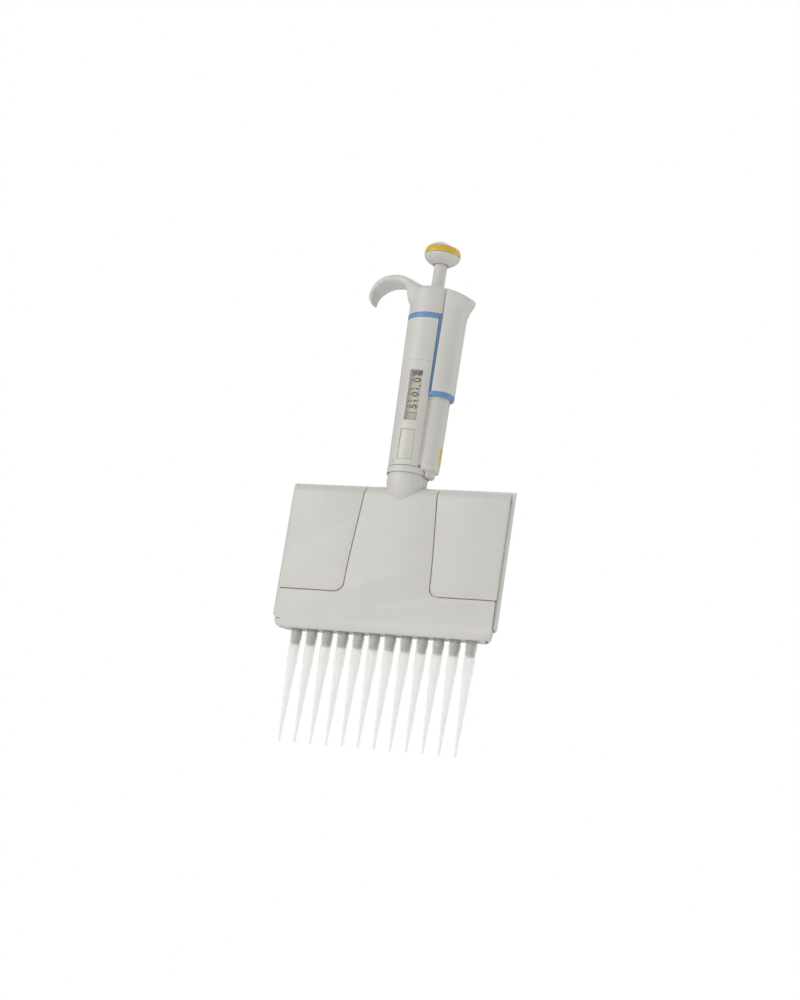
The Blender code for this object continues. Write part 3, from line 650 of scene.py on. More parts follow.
# coloured ring round the body, open at the key
ring_mid = (RING_Z0 + RING_Z1) / 2
ring_half = (RING_Z1 - RING_Z0) / 2 - 0.06
ring_section = soften([(ring_mid - ring_half, 12.4), (ring_mid - ring_half, 13.06),
                       (ring_mid + ring_half, 13.06), (ring_mid + ring_half, 12.4)], 0.35, 4)
ring_start = math.acos(8.15 / BODY_R)
ring_angles = [ring_start + (TAU - 2 * ring_start) * i / 120 for i in range(121)]
ring = make_object(loft([[(r * math.cos(a), r * math.sin(a), z) for z, r in ring_section]
                         for a in ring_angles]), "body_trim_ring", BLUE)
install(ring, "handle", "trim_ring")

# window pane
PX0, PX1 = LENS_LO.x + 0.05, LENS_HI.x - 0.05
pane_rings = []
for k in range(25):
    z = LENS_LO.z + (LENS_HI.z - LENS_LO.z) * k / 24
    pane = arc_front(PX0, PX1, 10.75) + arc_front(PX1, PX0, radius_at(z) - 0.35)
    pane_rings.append([(x, y, z) for x, y in pane])
install(make_object(loft(pane_rings), "window_pane", WINDOW), "handle",
        "window_lens")

# blank type label in its recess
BX0, BX1 = LABEL_LO.x + 0.04, LABEL_HI.x - 0.04
film = arc_front(BX0, BX1, 11.0) + arc_front(BX1, BX0, 11.27)
label = make_object(loft([[(x, y, z) for x, y in film]
                          for z in (LABEL_LO.z + 0.05, LABEL_HI.z - 0.05)]),
                    "blank_label", LABEL)
install(label, "handle", "type_label")


# ------------------------------------------------------------- volume counter
def glyph(text, size, weight):
    """Thin mesh of a character in its own plane."""
    curve = bpy.data.curves.new("glyph", "FONT")
    curve.body = text
    curve.size = size
    curve.offset = weight
    curve.extrude = 0.04
    curve.align_x = "CENTER"
    curve.resolution_u = 4
    holder = bpy.data.objects.new("glyph", curve)
    bpy.context.scene.collection.objects.link(holder)
    graph = bpy.context.evaluated_depsgraph_get()
    mesh = bpy.data.meshes.new_from_object(holder.evaluated_get(graph))
    bpy.data.objects.remove(holder)
    bpy.data.curves.remove(curve)
    return mesh


def wrap_glyph(bm, mesh, z0, angle):
    """Lays a glyph on a drum, reading upwards with its head to the left. angle is measured
    from the front towards +X."""
    xs = [v.co.x for v in mesh.vertices]
    ys = [v.co.y for v in mesh.vertices]
    cx, cy = (min(xs) + max(xs)) / 2, (min(ys) + max(ys)) / 2
    made = []
    for v in mesh.vertices:
        a = angle - (v.co.y - cy) / DRUM_R
        r = DRUM_R + v.co.z + 0.02
        made.append(bm.verts.new((r * math.sin(a), -r * math.cos(a), z0 + (v.co.x - cx))))
    for p in mesh.polygons:
        try:
            bm.faces.new([made[i] for i in p.vertices])
        except ValueError:  # bmesh refuses a face on the same corners as another
            pass


DRUM_R = span("digit_wheel_units")[1].y
DRUM_BORE = 7.55
DIGITS = [glyph(str(n), size=5.5, weight=0.15) for n in range(10)]
POINT = glyph(".", size=6.1, weight=0.14)
TICK = glyph("-", size=4.6, weight=0.14)


def wheel_teeth(z1):
    """Twenty tapered teeth on the drum's upper rim."""
    bm = bmesh.new()
    inner, outer = DRUM_R - 0.95, DRUM_R - 0.12
    for k in range(20):
        corners = []
        for z, half in ((z1 - 0.75, 0.085), (z1 - 0.06, 0.045)):
            for r, side in ((inner, -1), (inner, 1), (outer, 1), (outer, -1)):
                a = TAU * k / 20 + side * half
                corners.append(bm.verts.new((r * math.sin(a), -r * math.cos(a), z)))
        for quad in ((0, 1, 2, 3), (4, 7, 6, 5), (0, 4, 5, 1), (1, 5, 6, 2), (2, 6, 7, 3),
                     (3, 7, 4, 0)):
            bm.faces.new([corners[i] for i in quad])
    return bm


def wheel_marks(z0, z1, shown, has_point):
    """Ten digits with ticks between them, and decimal points on one wheel."""
    bm = bmesh.new()
    middle = (z0 + z1) / 2 - 0.05 + (0.75 if has_point else 0.0)
    for n in range(10):
        angle = math.radians(4.5) - math.radians(36) * (n - shown)
        wrap_glyph(bm, DIGITS[n], middle, angle)
        wrap_glyph(bm, TICK, middle + 0.2, angle - math.radians(18.6))
        if has_point:
            wrap_glyph(bm, POINT, middle - 3.15, angle + 2.05 / DRUM_R)
    return bm


for place, shown in (("tens", 5), ("units", 0), ("tenths", 0)):
    node, body = f"digit_wheel_{place}", f"wheel_{place}"
    lo, hi = span(node)
    z0, z1 = lo.z, hi.z
    rim_z = z1 - 0.55
    drum = turned(soften([(z0, DRUM_R - 0.7), (z0, DRUM_R), (rim_z, DRUM_R),
                          (rim_z, DRUM_R - 0.7), (rim_z, DRUM_BORE), (z0, DRUM_BORE)],
                         0.18, 3), 120)
    install(make_object(drum, node + "_drum", IVORY), body, node)
    install(make_object(wheel_teeth(z1), node + "_teeth", IVORY), body)
    marks = wheel_marks(z0, z1, shown, has_point=place == "tenths")
    install(make_object(marks, node + "_digits", INK, sharp=30), body)

# fixed carrier, wide below the drums and a sleeve inside them
carrier = make_object(turned(soften(
    [(170.3, 9.1), (172.2, 9.1), (172.2, 9.05), (177.55, 9.05), (177.55, 7.2),
     (201.0, 7.15), (201.0, 6.68), (170.3, 6.68)], 0.12, 2)), "counter_carrier", TAN)
install(carrier, "handle", "counter_frame")
# near-black hood over the drums: painted shadow along the top of the window
hood = make_object(turned(soften([(198.95, 8.95), (202.4, 8.95), (202.4, 7.5), (198.95, 7.5)],
                                 0.15, 2)), "counter_hood_painted_shadow", PAINTED_SHADE)
install(hood, "handle")

# red triangle on the hood, pointing down
TRIANGLE = [(1.35, 200.35), (-0.35, 200.35), (0.5, 199.0)]  # x, z
marker = make_object(loft([[(x, -math.sqrt(r ** 2 - x * x), z) for x, z in TRIANGLE]
                           for r in (9.12, 8.9)]), "volume_marker", RED)
install(marker, "handle")


# ============================================================ BUTTON AND STEM
# z, r from the underside round the rim to the crown
CAP = [
    (264.6, 0.0), (264.6, 3.62), (264.25, 3.9), (263.75, 4.1), (263.55, 4.5), (263.9, 5.1),
    (264.5, 6.05), (265.3, 7.3), (266.2, 8.42), (267.1, 9.18), (267.9, 9.58), (268.4, 9.68),
    (268.6, 9.6), (268.66, 9.2), (272.4, 8.85), (272.5, 9.04), (272.75, 8.97), (273.5, 8.3),
    (274.3, 7.3), (275.1, 6.0), (275.7, 4.5), (276.05, 2.8), (276.2, 1.0), (276.2, 0.0)]
cap = make_object(turned(soften(CAP, 0.3, 3, closed=False), 128), "button_cap", BUTTON,
                  sharp=50)
install(cap, "button", "push_button")
BUTTON_BAND = [(268.76, 9.25), (268.76, 9.7), (269.6, 9.76), (270.6, 9.68), (271.5, 9.48),
               (272.28, 9.22), (272.28, 8.95)]  # z, r
band = make_object(turned(soften(BUTTON_BAND, 0.16, 3), 128), "button_colour_band", YELLOW,
                   sharp=50)
install(band, "button", "button_colour_ring")


def stem_shape(angle, z, r):
    """Above z 205 a shallow rib towards the front left and a flat opposite it."""
    if r <= 3:
        return r
    facing = math.cos(angle - math.radians(-112))
    rib = 0.16 if facing > 0.955 and z > 205 else 0.0
    flat = 0.12 if facing < -0.965 and z > 205 else 0.0
    return r + rib - flat


STEM = [(STEM_FOOT, 3.35), (STEM_FOOT, 3.5), (206.0, 3.52), (262.0, 3.52), (264.3, 3.5),
        (264.3, 1.0), (240.0, 1.0), (240.0, 2.12), (STEM_FOOT, 2.12)]  # z, r
stem = make_object(turned(soften(STEM, 0.1, 2), shape=stem_shape), "plunger_stem", BUTTON,
                   sharp=25)
install(stem, "button", "button_stem")


# ============================================================== EJECTOR KEY
def key_ring(z, reach, half, back, tilt=0.0, count=49):
    """Half-oval section, sloping down away from the housing by tilt."""
    depth = reach - KEY_C
    limit = math.acos(max(-1.0, min(1.0, (back - KEY_C) / depth)))
    ring = []
    for i in range(count):
        a = -limit + 2 * limit * i / (count - 1)
        x = KEY_C + depth * math.cos(a)
        ring.append((x, half * math.sin(a), z - tilt * (x - KEY_PLANE)))
    return ring


# z, reach in x, half width, tilt
KEY_ROWS = [
    (KEY_LO.z, 18.82, 8.45, 0.0), (KEY_LO.z + 0.3, 18.96, 8.56, 0.0), (196.0, 19.0, 8.6, 0.0),
    (205.0, 19.0, 8.6, 0.0), (214.0, 19.0, 8.6, 0.0), (223.0, 19.05, 8.6, 0.0),
    (230.0, 19.12, 8.6, 0.01), (233.6, 19.3, 8.62, 0.03), (236.6, 19.9, 8.66, 0.06),
    (238.6, 20.6, 8.69, 0.09), (240.4, 21.4, 8.72, 0.12), (242.2, 22.15, 8.75, 0.15),
    (243.6, 22.6, 8.77, 0.17), (244.8, 22.85, 8.77, 0.19), (245.7, 22.85, 8.74, 0.21),
    (246.5, 22.55, 8.68, 0.228), (247.1, 22.0, 8.55, 0.24), (247.5, 21.3, 8.35, 0.25),
    (247.75, 20.5, 8.05, 0.256), (247.88, 19.4, 7.6, 0.26), (247.92, 17.5, 6.8, 0.26)]
key_rows = KEY_ROWS[:6] + curve_points(KEY_ROWS[6:], 60)
key = make_object(loft([key_ring(z, reach, half, KEY_PLANE + 0.3, tilt)
                        for z, reach, half, tilt in key_rows]),
                  "ejector_thumb_key", SHELL, sharp=50)
cut(key, loft([key_ring(z, KEY_C + 7.1, 7.1, KEY_PLANE - 0.5)
               for z in (KEY_LO.z - 3, 243.3)]), sharp=50)
cut(key, rod(KEY_LO.z - 3, 262.0, 11.25), sharp=50)
install(key, "ejector_key", "ejector_key")


# coloured edge of the key: a band round the foot and two upright strips beside the housing
def strip_rows(side):
    """Sections of one strip; side is -1 for the front and 1 for the rear."""
    x0, x1 = SIDE_CHORD + 0.45, KEY_PLANE + 0.1
    top = RING_Z1 - 0.1
    rows = []
    for z in (TRIM_LO.z + 1.3, TRIM_LO.z + 2.2, 200.0, 215.0, 228.0, top - 0.3, top):
        r = radius_at(z)
        row = []
        for k in range(9):
            x = x0 + (x1 - x0) * k / 8
            crown = 0.12 * math.sin(math.pi * k / 8)
            row.append((x, side * (math.sqrt(r * r - x * x) - 0.02 + crown), z))
        row += [(x, side * math.sqrt(11.35 ** 2 - x * x), z) for x in (x1, x0)]
        rows.append(row)
    return rows


TRIM_BAND = [(TRIM_LO.z + 0.5, 8.2), (TRIM_LO.z + 0.58, 8.36), (TRIM_LO.z + 0.8, 8.52),
             (TRIM_LO.z + 1.2, 8.62), (TRIM_LO.z + 2.3, 8.68), (TRIM_HI.z - 0.12, 8.64),
             (TRIM_HI.z + 0.2, 8.5)]  # z, r
trim = make_object(loft([key_ring(z, KEY_C + r, r, KEY_PLANE - 0.9) for z, r in TRIM_BAND]),
                   "key_coloured_edge", BLUE, sharp=50)
cut(trim, loft([key_ring(z, KEY_C + 7.15, 7.15, KEY_PLANE - 2.5)
                for z in (TRIM_LO.z - 2, TRIM_HI.z + 3)]), sharp=50)
cut(trim, rod(TRIM_LO.z - 3, TRIM_HI.z + 3, 11.3), sharp=50)
for side in (-1, 1):
    join(trim, loft(strip_rows(side)))
install(trim, "ejector_key", "key_trim")


# ----------------------------------------------------------- ejector slider
def slider_ring(z, r, wall=1.4, count=41):
    """Open C-shaped section with its round side towards +X."""
    limit = math.radians(104)
    ring = []
    for radius, start in ((r, -limit), (r - wall, limit)):
        for i in range(count):
            a = start - 2 * start * i / (count - 1)
            ring.append((KEY_C + radius * math.cos(a), radius * math.sin(a), z))
    return ring


SLIDER = [(147.7, 6.22), (149.0, 6.45), (153.0, 6.5), (165.0, 6.58), (188.0, 6.68),
          (212.0, 6.73), (SLIDER_HI.z, 6.75)]  # z, r
slider = make_object(loft([slider_ring(z, r) for z, r in SLIDER]), "ejector_bar", COVER,
                     sharp=40)
# closed, chamfered foot that steps down to the collar: z, back x, reach in x, half width
SLIDER_FOOT = [
    (SLIDER_LO.z, 11.42, 13.7, 3.7), (SLIDER_LO.z + 0.12, 11.42, 14.2, 4.1),
    (SLIDER_LO.z + 0.6, 11.42, 14.68, 4.4), (146.0, 11.42, 14.8, 4.48),
    (146.85, 11.3, 14.85, 4.5), (147.2, 10.7, 15.0, 4.7), (147.8, 10.6, 15.5, 5.2),
    (148.4, 10.6, 16.1, 5.8), (148.9, 10.6, 16.5, 6.2), (149.6, 11.0, 16.74, 6.42),
    (150.4, 11.3, 16.79, 6.47)]
foot_angles = [math.radians(-100 + 200 * i / 32) for i in range(33)]
join(slider, loft([
    [(max(KEY_C + 0.3 + (reach - KEY_C - 0.3) * math.cos(a), back) if math.cos(a) > 0
      else back, half * math.sin(a), z) for a in foot_angles]
    for z, back, reach, half in SLIDER_FOOT]))
install(slider, "ejector_key", "ejector_slider")
COLLAR = [(144.9, 11.04), (144.9, 11.4), (148.2, 11.42), (148.2, 8.4), (146.95, 8.4),
          (146.95, 11.04)]  # z, r
collar = make_object(turned(soften(COLLAR, 0.12, 3), 128), "ejector_collar", SHELL, sharp=50)
install(collar, "ejector_key")


def slider_radius(z):
    if z < 165:
        return 6.5 + (z - 153.0) / 12.0 * 0.08
    return 6.58 + (z - 165.0) / 23.0 * 0.1


# thin yellow film on the slider's round face, between two angles from +X
FLASH_Z0, FLASH_Z1 = 151.5, 160.9
FLASH_A0, FLASH_A1 = -14, 62
FLASH_LIFT, FLASH_THICK = 0.05, 0.09
flash_angles = [math.radians(FLASH_A0 + (FLASH_A1 - FLASH_A0) * i / 24) for i in range(25)]
flash_rows = []
for k in range(9):
    z = FLASH_Z0 + (FLASH_Z1 - FLASH_Z0) * k / 8
    outer = slider_radius(z) + FLASH_LIFT
    flash_rows.append([(KEY_C + r * math.cos(a), r * math.sin(a), z)
                       for r, angles in ((outer, flash_angles),
                                         (outer - FLASH_THICK, flash_angles[::-1]))
                       for a in angles])
flash = make_object(loft(flash_rows), "colour_code_flash", YELLOW, sharp=40)
install(flash, "ejector_key")


# ====================================================================== HEAD
def plate(outline, round_of, back_round=0.15, steps=4):
    """A front skin in the XZ plane whose top rolls back. round_of(x, z) gives the radius
    of the front edge."""
    if signed_area(outline) < 0:
        outline = outline[::-1]
    back = FRONT + SKIN
    widths = [round_of(x, z) for x, z in outline]
    rings = []
    for k in range(steps + 1):
        a = math.radians(90 * k / steps)
        ring = inset(outline, [w * (1 - math.sin(a)) for w in widths])
        rings.append([(x, FRONT + w * (1 - math.cos(a)), z) for (x, z), w in zip(ring, widths)])
    rings.append([(x, back - back_round, z) for x, z in outline])
    rings.append([(x, back, z) for x, z in inset(outline, [back_round] * len(outline))])
    bm = loft(rings)
    for k in range(22):
        level = FILLET_FOOT + TOP_ROUND * math.sin(math.radians(90 * k / 22))
        bmesh.ops.bisect_plane(bm, geom=bm.verts[:] + bm.edges[:] + bm.faces[:],
                               plane_co=(0, 0, level), plane_no=(0, 0, 1), dist=1e-6)
    for v in bm.verts:
        t = max(0.0, min(v.co.z - FILLET_FOOT, TOP_ROUND * 0.9995))
        v.co.y += TOP_ROUND - math.sqrt(TOP_ROUND * TOP_ROUND - t * t)
    return bm


def roll_arc(radius, start, stop, steps=24):
    """Points (y, z) about the roll's centre between two angles from the front."""
    angles = [math.radians(start + (stop - start) * i / steps) for i in range(steps + 1)]
    return [(FRONT + TOP_ROUND - radius * math.cos(a), FILLET_FOOT + radius * math.sin(a))
            for a in angles]


def inner_roll(x0, x1):
    """Thickness of a rolled skin, set just under its outer face."""
    section = ([(FRONT + 0.25, FILLET_FOOT - 0.9)] + roll_arc(TOP_ROUND - 0.2, 0, 86)
               + roll_arc(TOP_ROUND - 1.6, 86, 0) + [(FRONT + 1.55, FILLET_FOOT - 0.9)])
    return prism_x(section, x0, x1)


EDGE_TOP = HEAD_TOP - 0.02
EDGE_HEIGHTS = (EDGE_TOP, 137.6, 135.5, 133.1, 129.0, 124.0, 117.0, 110.0, 104.0, 98.0, 92.0)


def upright_edge(gap, radius):
    """Right edge of the shell's upright part, moved out by gap, down into the rounded
    corner with the band."""
    level = BAND_TOP + gap
    edge = [(stem_edge(z) + gap, z) for z in EDGE_HEIGHTS]
    corner = soften([edge[-1], (stem_edge(level) + gap, level), (40.0, level)], radius, 8,
                    closed=False)
    return edge + corner[1:-1]


# front of the ejector shell
half = upright_edge(gap=0.0, radius=4.6)
half += [(x, BAND_TOP) for x in (34.0, 45.0, 56.0)]
half += soften([(56.0, BAND_TOP), (HALF_BAND, BAND_TOP), (HALF_BAND, 66.0), (HALF_BAND, 63.2),
                (60.95, 61.9), (60.2, 60.9), (58.8, 60.15), (56.6, 59.65), (53.0, 59.3),
                (48.0, BAND_FOOT)], 0.5, 2, closed=False)[1:]
half += [(x, BAND_FOOT) for x in (36.0, 24.0, 12.0, 0.0)]
outline = half + [(-x, z) for x, z in reversed(half[:-1])]


def shell_round(x, z):
    if z < BAND_TOP - 0.6:
        return 0.9 if abs(x) < HALF_BAND - 8 or z < 66 else 0.45
    return 0.32


shell = make_object(plate(outline, shell_round), "ejector_shell_front", SHELL, sharp=40)


# tray behind the band, drawn in towards the back
def tray_ring(shrink, back, z):
    right = eased([(0.0, -5.3), (60.9 - shrink, -5.3), (60.9 - shrink, -1.6),
                   (59.1 - shrink, 2.5), (57.8 - shrink, back), (0.0, back)], 1.0, 4)
    return mirrored(right, z)


def tray_hollow(half_x, z):
    right = eased([(0.0, -4.4), (half_x, -4.4), (half_x, -1.6), (half_x - 1.7, 2.2),
                   (half_x - 2.3, 3.7), (0.0, 3.7)], 0.5, 3)
    return mirrored(right, z)


TRAY = [(2.6, 4.5, BAND_FOOT + 0.3), (1.9, 4.75, BAND_FOOT + 0.45), (1.0, 5.0, BAND_FOOT + 0.9),
        (0.4, 5.15, BAND_FOOT + 1.7), (0.06, 5.2, BAND_FOOT + 3.0), (0.0, 5.2, BAND_FOOT + 5.0),
        (0.0, 5.2, BAND_TOP - 0.5), (0.15, 5.05, BAND_TOP - 0.3)]  # shrink, back y, z
join(shell, loft([tray_ring(*row) for row in TRAY]))
cut(shell, loft([tray_hollow(half_x, z) for half_x, z in (
    (58.0, BAND_FOOT - 2), (59.4, 61.4), (59.4, 62.4), (59.4, BAND_TOP + 6))]))

# rolled top of the upright part
join(shell, inner_roll(-20.0, 20.0))
join(shell, box_mesh(-19.95, 19.95, -1.2, 5.4, HEAD_TOP - 1.6, HEAD_TOP - 0.25))

# neck: a bowl that rises into a cylinder, cleared inside the head
NECK_BOWL = [(129.2, 0), (129.25, 3.0), (129.8, 4.7), (131.0, 6.3), (132.9, 7.9),
             (135.0, 9.25), (137.2, 10.1), (139.3, 10.55), (141.4, NECK_R)]  # z, r
neck = curve_points(NECK_BOWL, 40) + [
    (145.9, NECK_R - 0.05), (146.3, NECK_R - 0.2), (NECK_TOP, NECK_R - 0.5), (NECK_TOP, 0)]
join(shell, turned(neck, 128))
cut(shell, box_mesh(-12.0, 12.0, FRONT + SKIN, 7.85, 125.0, 134.2))
cut(shell, box_mesh(-12.0, 12.0, -1.9, 7.85, 125.0, 137.1))

# apron on the back of the neck
apron_angles = [math.radians(49 + 82 * k / 28) for k in range(29)]
apron = [(10.68 * math.cos(a), 10.68 * math.sin(a)) for a in apron_angles]
join(shell, loft([[(x * keep, 8.0 + (y - 8.0) * (0.4 + 0.6 * keep), z) for x, y in apron]
                  for z, keep in ((124.7, 0.55), (125.2, 0.78), (126.2, 0.93), (127.6, 1.0),
                                  (140.5, 1.0))]))

# socket and bore of the neck
cut(shell, turned([(138.2, 0), (138.2, 8.3), (NECK_TOP - 0.4, 8.3), (NECK_TOP + 1, 8.8),
                   (NECK_TOP + 1, 0)]))
cut(shell, rod(128.0, 139.5, 4.35, segments=64))

# lug at the right end, slot at the left
join(shell, round_box(59.4, 61.4, FRONT - 0.1, FRONT + 1.2, 62.2, 66.3, 0.25))
cut(shell, round_box(-60.2, -57.6, FRONT - 1.0, FRONT + 0.8, 63.4, 64.0, 0.2))
install(shell, "ejector_shell", "ejector_shell")

# tip stripper: a plate with a flared hole per channel
S_LO, S_HI = span("stripper_plate")
stripper_rows = []
for z, g in ((S_LO.z, 0.25), (S_LO.z + 0.1, 0.08), (S_LO.z + 0.3, 0.0), (S_HI.z - 0.1, 0.0),
             (S_HI.z, 0.1)):  # z, inset
    right = eased([(0.0, S_LO.y + g), (S_HI.x - g, S_LO.y + g), (S_HI.x - g, -1.6),
                   (S_HI.x - 1.5 - g, 1.8), (S_HI.x - 2.2 - g, S_HI.y - g),
                   (0.0, S_HI.y - g)], 0.5, 3)
    stripper_rows.append(mirrored(right, z))
stripper = make_object(loft(stripper_rows), "tip_stripper", PANEL, sharp=40)
for x in CHANNELS:
    cut(stripper, turned([(57.0, 0), (57.0, 3.9), (S_LO.z - 0.02, 3.55), (S_LO.z + 0.35, 3.08),
                          (64.0, 3.05), (64.0, 0)], 40, at_x=x))
install(stripper, "ejector_shell", "stripper_plate")


# side panels
def panel_round(x, z):
    return 0.75 if abs(x) > HALF_FRONT - 3 and z > BAND_TOP + 2 else 0.32


panel_foot = BAND_TOP + PANEL_GAP
panel_half = upright_edge(gap=PANEL_GAP, radius=5.0)
panel_half += [(38.0, panel_foot), (48.0, panel_foot)]
panel_half += soften([(57.0, panel_foot), (HALF_FRONT, panel_foot), (HALF_FRONT, 100.0),
                      (HALF_FRONT, 131.0), (HALF_FRONT, EDGE_TOP), (50.0, EDGE_TOP)],
                     0.6, 3, closed=False)
panel_half.append((36.0, EDGE_TOP))
for side, node in ((-1, "left_panel"), (1, "right_panel")):
    panel = make_object(plate([(side * x, z) for x, z in panel_half], panel_round),
                        node + "_skin", PANEL, sharp=40)
    # rolled top and a return along the outer side
    join(panel, inner_roll(*sorted((side * 21.2, side * (HALF_FRONT - 0.25)))))
    join(panel, box_mesh(*sorted((side * 59.6, side * 60.9)), -5.2, -1.8, 81.0, 133.5))
    install(panel, "head", node)


# rear cover: a shallow tray with a flange that shows beside the front skins
def cover_ring(y, half_x, low, high, soft, foot_soft=0.8, steps=6):
    """Rounded outline of the cover at a depth, with its own radius at the foot."""
    mid = (low + high) / 2
    top = eased([(half_x, mid), (half_x, high), (-half_x, high), (-half_x, mid)], soft, steps)
    foot = eased([(-half_x, mid), (-half_x, low), (half_x, low), (half_x, mid)],
                 foot_soft, steps)
    return [(x, y, z) for x, z in top[1:-1] + foot[1:-1]]


# y, inset of the sides, of the foot and of the top, radius at the top and at the foot
COVER_ROWS = [
    (-4.15, 0.15, 0.15, 0.1, 1.0, 0.8), (-4.0, 0.04, 0.04, 0.03, 1.0, 0.8),
    (-3.8, 0.0, 0.0, 0.0, 1.0, 0.8), (-2.4, 0.1, 0.0, 0.0, 1.0, 0.8),
    (-1.2, 0.5, 0.0, 0.0, 1.0, 0.8), (0.2, 1.2, 0.0, 0.0, 1.0, 0.8),
    (2.6, 2.3, 0.0, 0.0, 1.2, 0.8), (4.6, 3.3, 0.0, 0.0, 1.6, 1.2)]
rear_rows = [cover_ring(y, HALF_REAR - side, REAR_FOOT + foot, HEAD_TOP - top, soft, foot_soft)
             for y, side, foot, top, soft, foot_soft in COVER_ROWS]
for k in range(1, 9):
    a = math.radians(90 * k / 8)
    turn_in = 1 - math.cos(a)
    rear_rows.append(cover_ring(4.6 + 2.9 * math.sin(a), HALF_REAR - 3.3 - 3.1 * turn_in,
                                REAR_FOOT + 2.4 * turn_in, HEAD_TOP - 2.6 * turn_in,
                                1.6 + 1.6 * turn_in, 2.2))
rear = make_object(loft(rear_rows), "head_rear_cover", COVER, sharp=40)
# hollow, open at the foot: y, half width
cut(rear, loft([cover_ring(y, half_x, 55.0, 137.3, 0.8) for y, half_x in (
    (-4.6, 61.3), (-1.5, 61.3), (2.5, 59.5), (5.8, 57.9))]))
# room in front for the rolled skins
in_front = ([(-12.0, FILLET_FOOT)] + roll_arc(TOP_ROUND - 0.03, 0, 88)
            + [(0.45, 146.0), (-12.0, 146.0)])
cut(rear, prism_x(in_front, -70.0, 70.0))
cut(rear, box_mesh(-61.62, 61.62, -5.0, 0.6, 131.0, 142.0))
# room for the ejector shell's top and neck
cut(rear, box_mesh(-20.6, 20.6, -4.6, 5.8, 130.0, 141.0))
cut(rear, box_mesh(-17.5, 17.5, 4.0, 10.0, 136.0, 141.0))
cut(rear, prism_y(soften([(-9.6, 127.4), (9.6, 127.4), (9.6, 141.0), (-9.6, 141.0)], 2.0, 5),
                  4.0, 11.0))
install(rear, "head", "rear_cover")

# lips behind the narrow gaps between the ejector shell and the side panels; their pale olive
# colour is painted light that lightens the shade in the gaps
LIP_FOOT = BAND_TOP + 0.15
LIP_TOP = BAND_TOP + 1.9
lip_heights = [LIP_FOOT + (123.4 - BAND_TOP - 0.15) * k / 20 for k in range(21)]
lip_half = [(stem_edge(z) - 0.7, z) for z in lip_heights[::-1] if z > 84.0]
lip_half += [(stem_edge(BAND_TOP) - 0.7, LIP_FOOT), (60.3, LIP_FOOT), (60.3, LIP_TOP),
             (stem_edge(90.0) + 6.0, LIP_TOP)]
lip_half += [(stem_edge(z) + 1.7, z) for z in lip_heights if z > 88.0]
for side, name in ((-1, "left"), (1, "right")):
    lip = make_object(prism_y([(side * x, z) for x, z in lip_half], -4.36, -4.04),
                      f"gap_lip_{name}", GAP_LIP_PAINTED_LIGHT, sharp=40)
    install(lip, "head")


# ======================================================== TIP CONES AND TIPS
# z, r up the outside and back down the bore
CONE_PROFILE = [
    (CONE_END, 1.9), (CONE_END + 0.1, 2.1), (CONE_END + 0.3, 2.2), (52.6, 2.28),
    (52.75, 2.14), (53.15, 2.14), (53.3, 2.33), (54.4, 2.42), (54.55, 2.26), (54.95, 2.26),
    (55.1, 2.47), (57.6, 2.66), (59.0, 2.69), (75.6, 2.69), (75.9, 3.3), (76.1, 3.45),
    (79.8, 3.45), (80.0, 3.3), (80.1, 2.65), (86.4, 2.62), (86.5, 2.05), (95.8, 2.03),
    (96.0, 1.9), (96.0, 1.5), (75.0, 1.5), (74.2, 0.8), (CONE_END, 0.8)]
TIP_OUTER = [
    (0.0, 0.50), (0.06, 0.60), (0.2, 0.66), (6.0, 0.86), (10.0, 1.06), (20.0, 1.52),
    (30.0, 1.97), (38.0, 2.32), (41.2, 2.46), (41.45, 2.5), (41.6, 2.68), (41.75, 2.76),
    (42.1, 2.8), (46.0, 2.81), (50.7, 2.83), (51.2, 2.84), (52.6, 2.9), (54.5, 3.02),
    (56.0, 3.14), (56.5, 3.2), (57.3, 3.25), (57.65, 3.22), (TIP_TOP, 3.1)]
TIP_INNER = [
    (TIP_TOP, 2.97), (57.5, 2.92), (54.5, 2.70), (51.0, 2.44), (46.0, 2.3), (42.2, 2.2),
    (41.2, 2.02), (38.0, 1.88), (30.0, 1.55), (20.0, 1.14), (10.0, 0.72), (0.2, 0.33),
    (0.0, 0.36)]
TIP_RIBS = 10


def tip_shape(angle, z, r):
    """Upright ribs on the outside, above the step."""
    if 41.9 < z < 51.0 and r > 2.3:
        return r - 0.17 * (0.5 + 0.5 * math.cos(TIP_RIBS * angle)) ** 0.5
    return r


for i, x in enumerate(CHANNELS, 1):
    cone = make_object(turned(CONE_PROFILE, 40, at_x=x), f"cone_{i:02d}", CONE, sharp=40)
    install(cone, "head", f"tip_cone_{i:02d}")
    tip = make_object(turned(TIP_OUTER + TIP_INNER, 60, at_x=x, shape=tip_shape),
                      f"disposable_tip_{i:02d}", TIP, sharp=35)
    install(tip, "tips", f"tip_{i:02d}")

# ================================================ INNER CAD PIECES, KEPT AS THEY ARE
INNER = [
    (ACETAL, ("bearing_ring", "stop_bushing", "top_frame", "swivel_tube", "cylinder_block")),
    (SPRING, ("blowout_spring", "plunger_spring", "ejector_spring", "bar_spring_left",
              "bar_spring_right")),
    (STEEL, ("blowout_washer", "push_rod", "guide_rod_left", "guide_rod_right",
             "piston_rack")),
    (BRASS, ("volume_sleeve", "stop_nut"))]
for mat, nodes in INNER:
    for node in nodes:
        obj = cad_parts[node]
        if not obj.material_slots:
            obj.data.materials.append(mat)
        for slot in obj.material_slots:
            slot.material = mat


# ===================================================== FLOOR, LIGHT, CAMERA
FLOOR_Z = -420.0
floor_bm = bmesh.new()
bmesh.ops.create_grid(floor_bm, x_segments=2, y_segments=2, size=6000.0)
bmesh.ops.translate(floor_bm, vec=(0, 0, FLOOR_Z), verts=floor_bm.verts)
FLOOR = plastic("studio_floor", rgb=(0.93, 0.93, 0.925), rough=0.8, drift=0.004, bump=0.0,
                wear=0.0)
make_object(floor_bm, "studio_floor", FLOOR, flip_check=False)

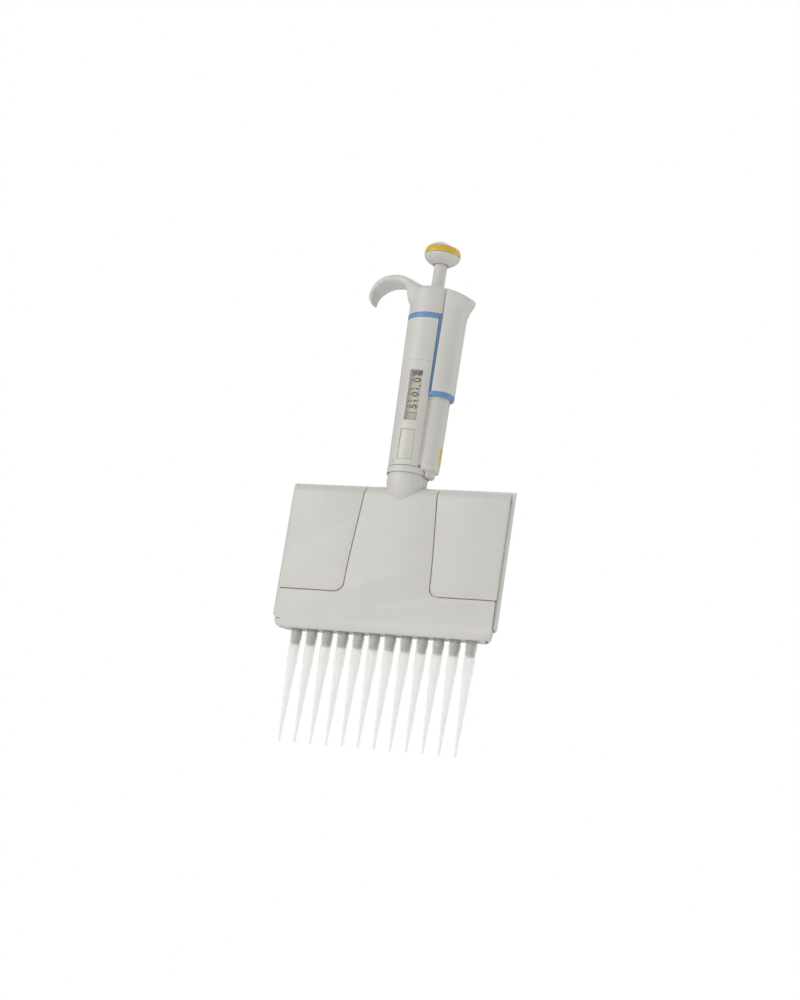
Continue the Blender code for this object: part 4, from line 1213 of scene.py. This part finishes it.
# world: white to the camera, a dimmer fill for everything else
world = bpy.data.worlds.new("studio")
bpy.context.scene.world = world
world.use_nodes = True
tree = world.node_tree
tree.nodes.clear()
out = tree.nodes.new("ShaderNodeOutputWorld")
seen = add(tree, "ShaderNodeBackground", Color=(1.0, 1.0, 1.0, 1.0), Strength=1.0)
fill = add(tree, "ShaderNodeBackground", Color=(0.985, 0.99, 1.0, 1.0), Strength=0.55)
path = tree.nodes.new("ShaderNodeLightPath")
mix = tree.nodes.new("ShaderNodeMixShader")
tree.links.new(path.outputs["Is Camera Ray"], mix.inputs[0])
tree.links.new(fill.outputs[0], mix.inputs[1])
tree.links.new(seen.outputs[0], mix.inputs[2])
tree.links.new(mix.outputs[0], out.inputs[0])


def area_light(name, place, aim, size, watts):
    """Rectangular light; places and size in metres."""
    data = bpy.data.lights.new(name, "AREA")
    data.shape = "RECTANGLE"
    data.size, data.size_y = size
    data.energy = watts
    obj = bpy.data.objects.new(name, data)
    bpy.context.scene.collection.objects.link(obj)
    obj.location = place
    obj.rotation_euler = (Vector(aim) - Vector(place)).to_track_quat("-Z", "Y").to_euler()


MIDDLE = (0.0, 0.0, 0.15)
area_light("key_left", place=(-0.9, -1.1, 0.55), aim=MIDDLE, size=(0.9, 0.9), watts=7.0)
area_light("front_fill", place=(0.5, -1.6, -0.05), aim=MIDDLE, size=(1.2, 1.0), watts=5.0)
area_light("top_back", place=(0.15, 0.7, 1.25), aim=(0.0, 0.0, 0.2), size=(0.8, 0.5),
           watts=9.0)
area_light("right_rim", place=(1.2, 0.5, 0.3), aim=MIDDLE, size=(0.5, 1.0), watts=3.0)

# camera: a long lens in front, towards +X, looking up from below and rolled
AZIMUTH, ELEVATION, ROLL = 0.43166, -0.244346, 0.155797  # radians
DISTANCE = 1.19741  # metres
TARGET = Vector((-0.0024863, 0.0, 0.1322696))  # metres
back = Vector((math.sin(AZIMUTH) * math.cos(ELEVATION),
               -math.cos(AZIMUTH) * math.cos(ELEVATION), math.sin(ELEVATION)))
level_right = Vector((math.cos(AZIMUTH), math.sin(AZIMUTH), 0.0))
level_up = back.cross(level_right)
right = level_right * math.cos(ROLL) + level_up * math.sin(ROLL)
up = -level_right * math.sin(ROLL) + level_up * math.cos(ROLL)
camera_data = bpy.data.cameras.new("camera")
camera_data.sensor_fit = "VERTICAL"
camera_data.sensor_height = 36.0
camera_data.sensor_width = 36.0
camera_data.lens = 82.24524
camera_data.clip_start = 0.01
camera = bpy.data.objects.new("camera", camera_data)
bpy.context.scene.collection.objects.link(camera)
pose = Matrix((right, up, back)).transposed().to_4x4()
pose.translation = TARGET + back * DISTANCE
camera.matrix_world = pose
bpy.context.scene.camera = camera
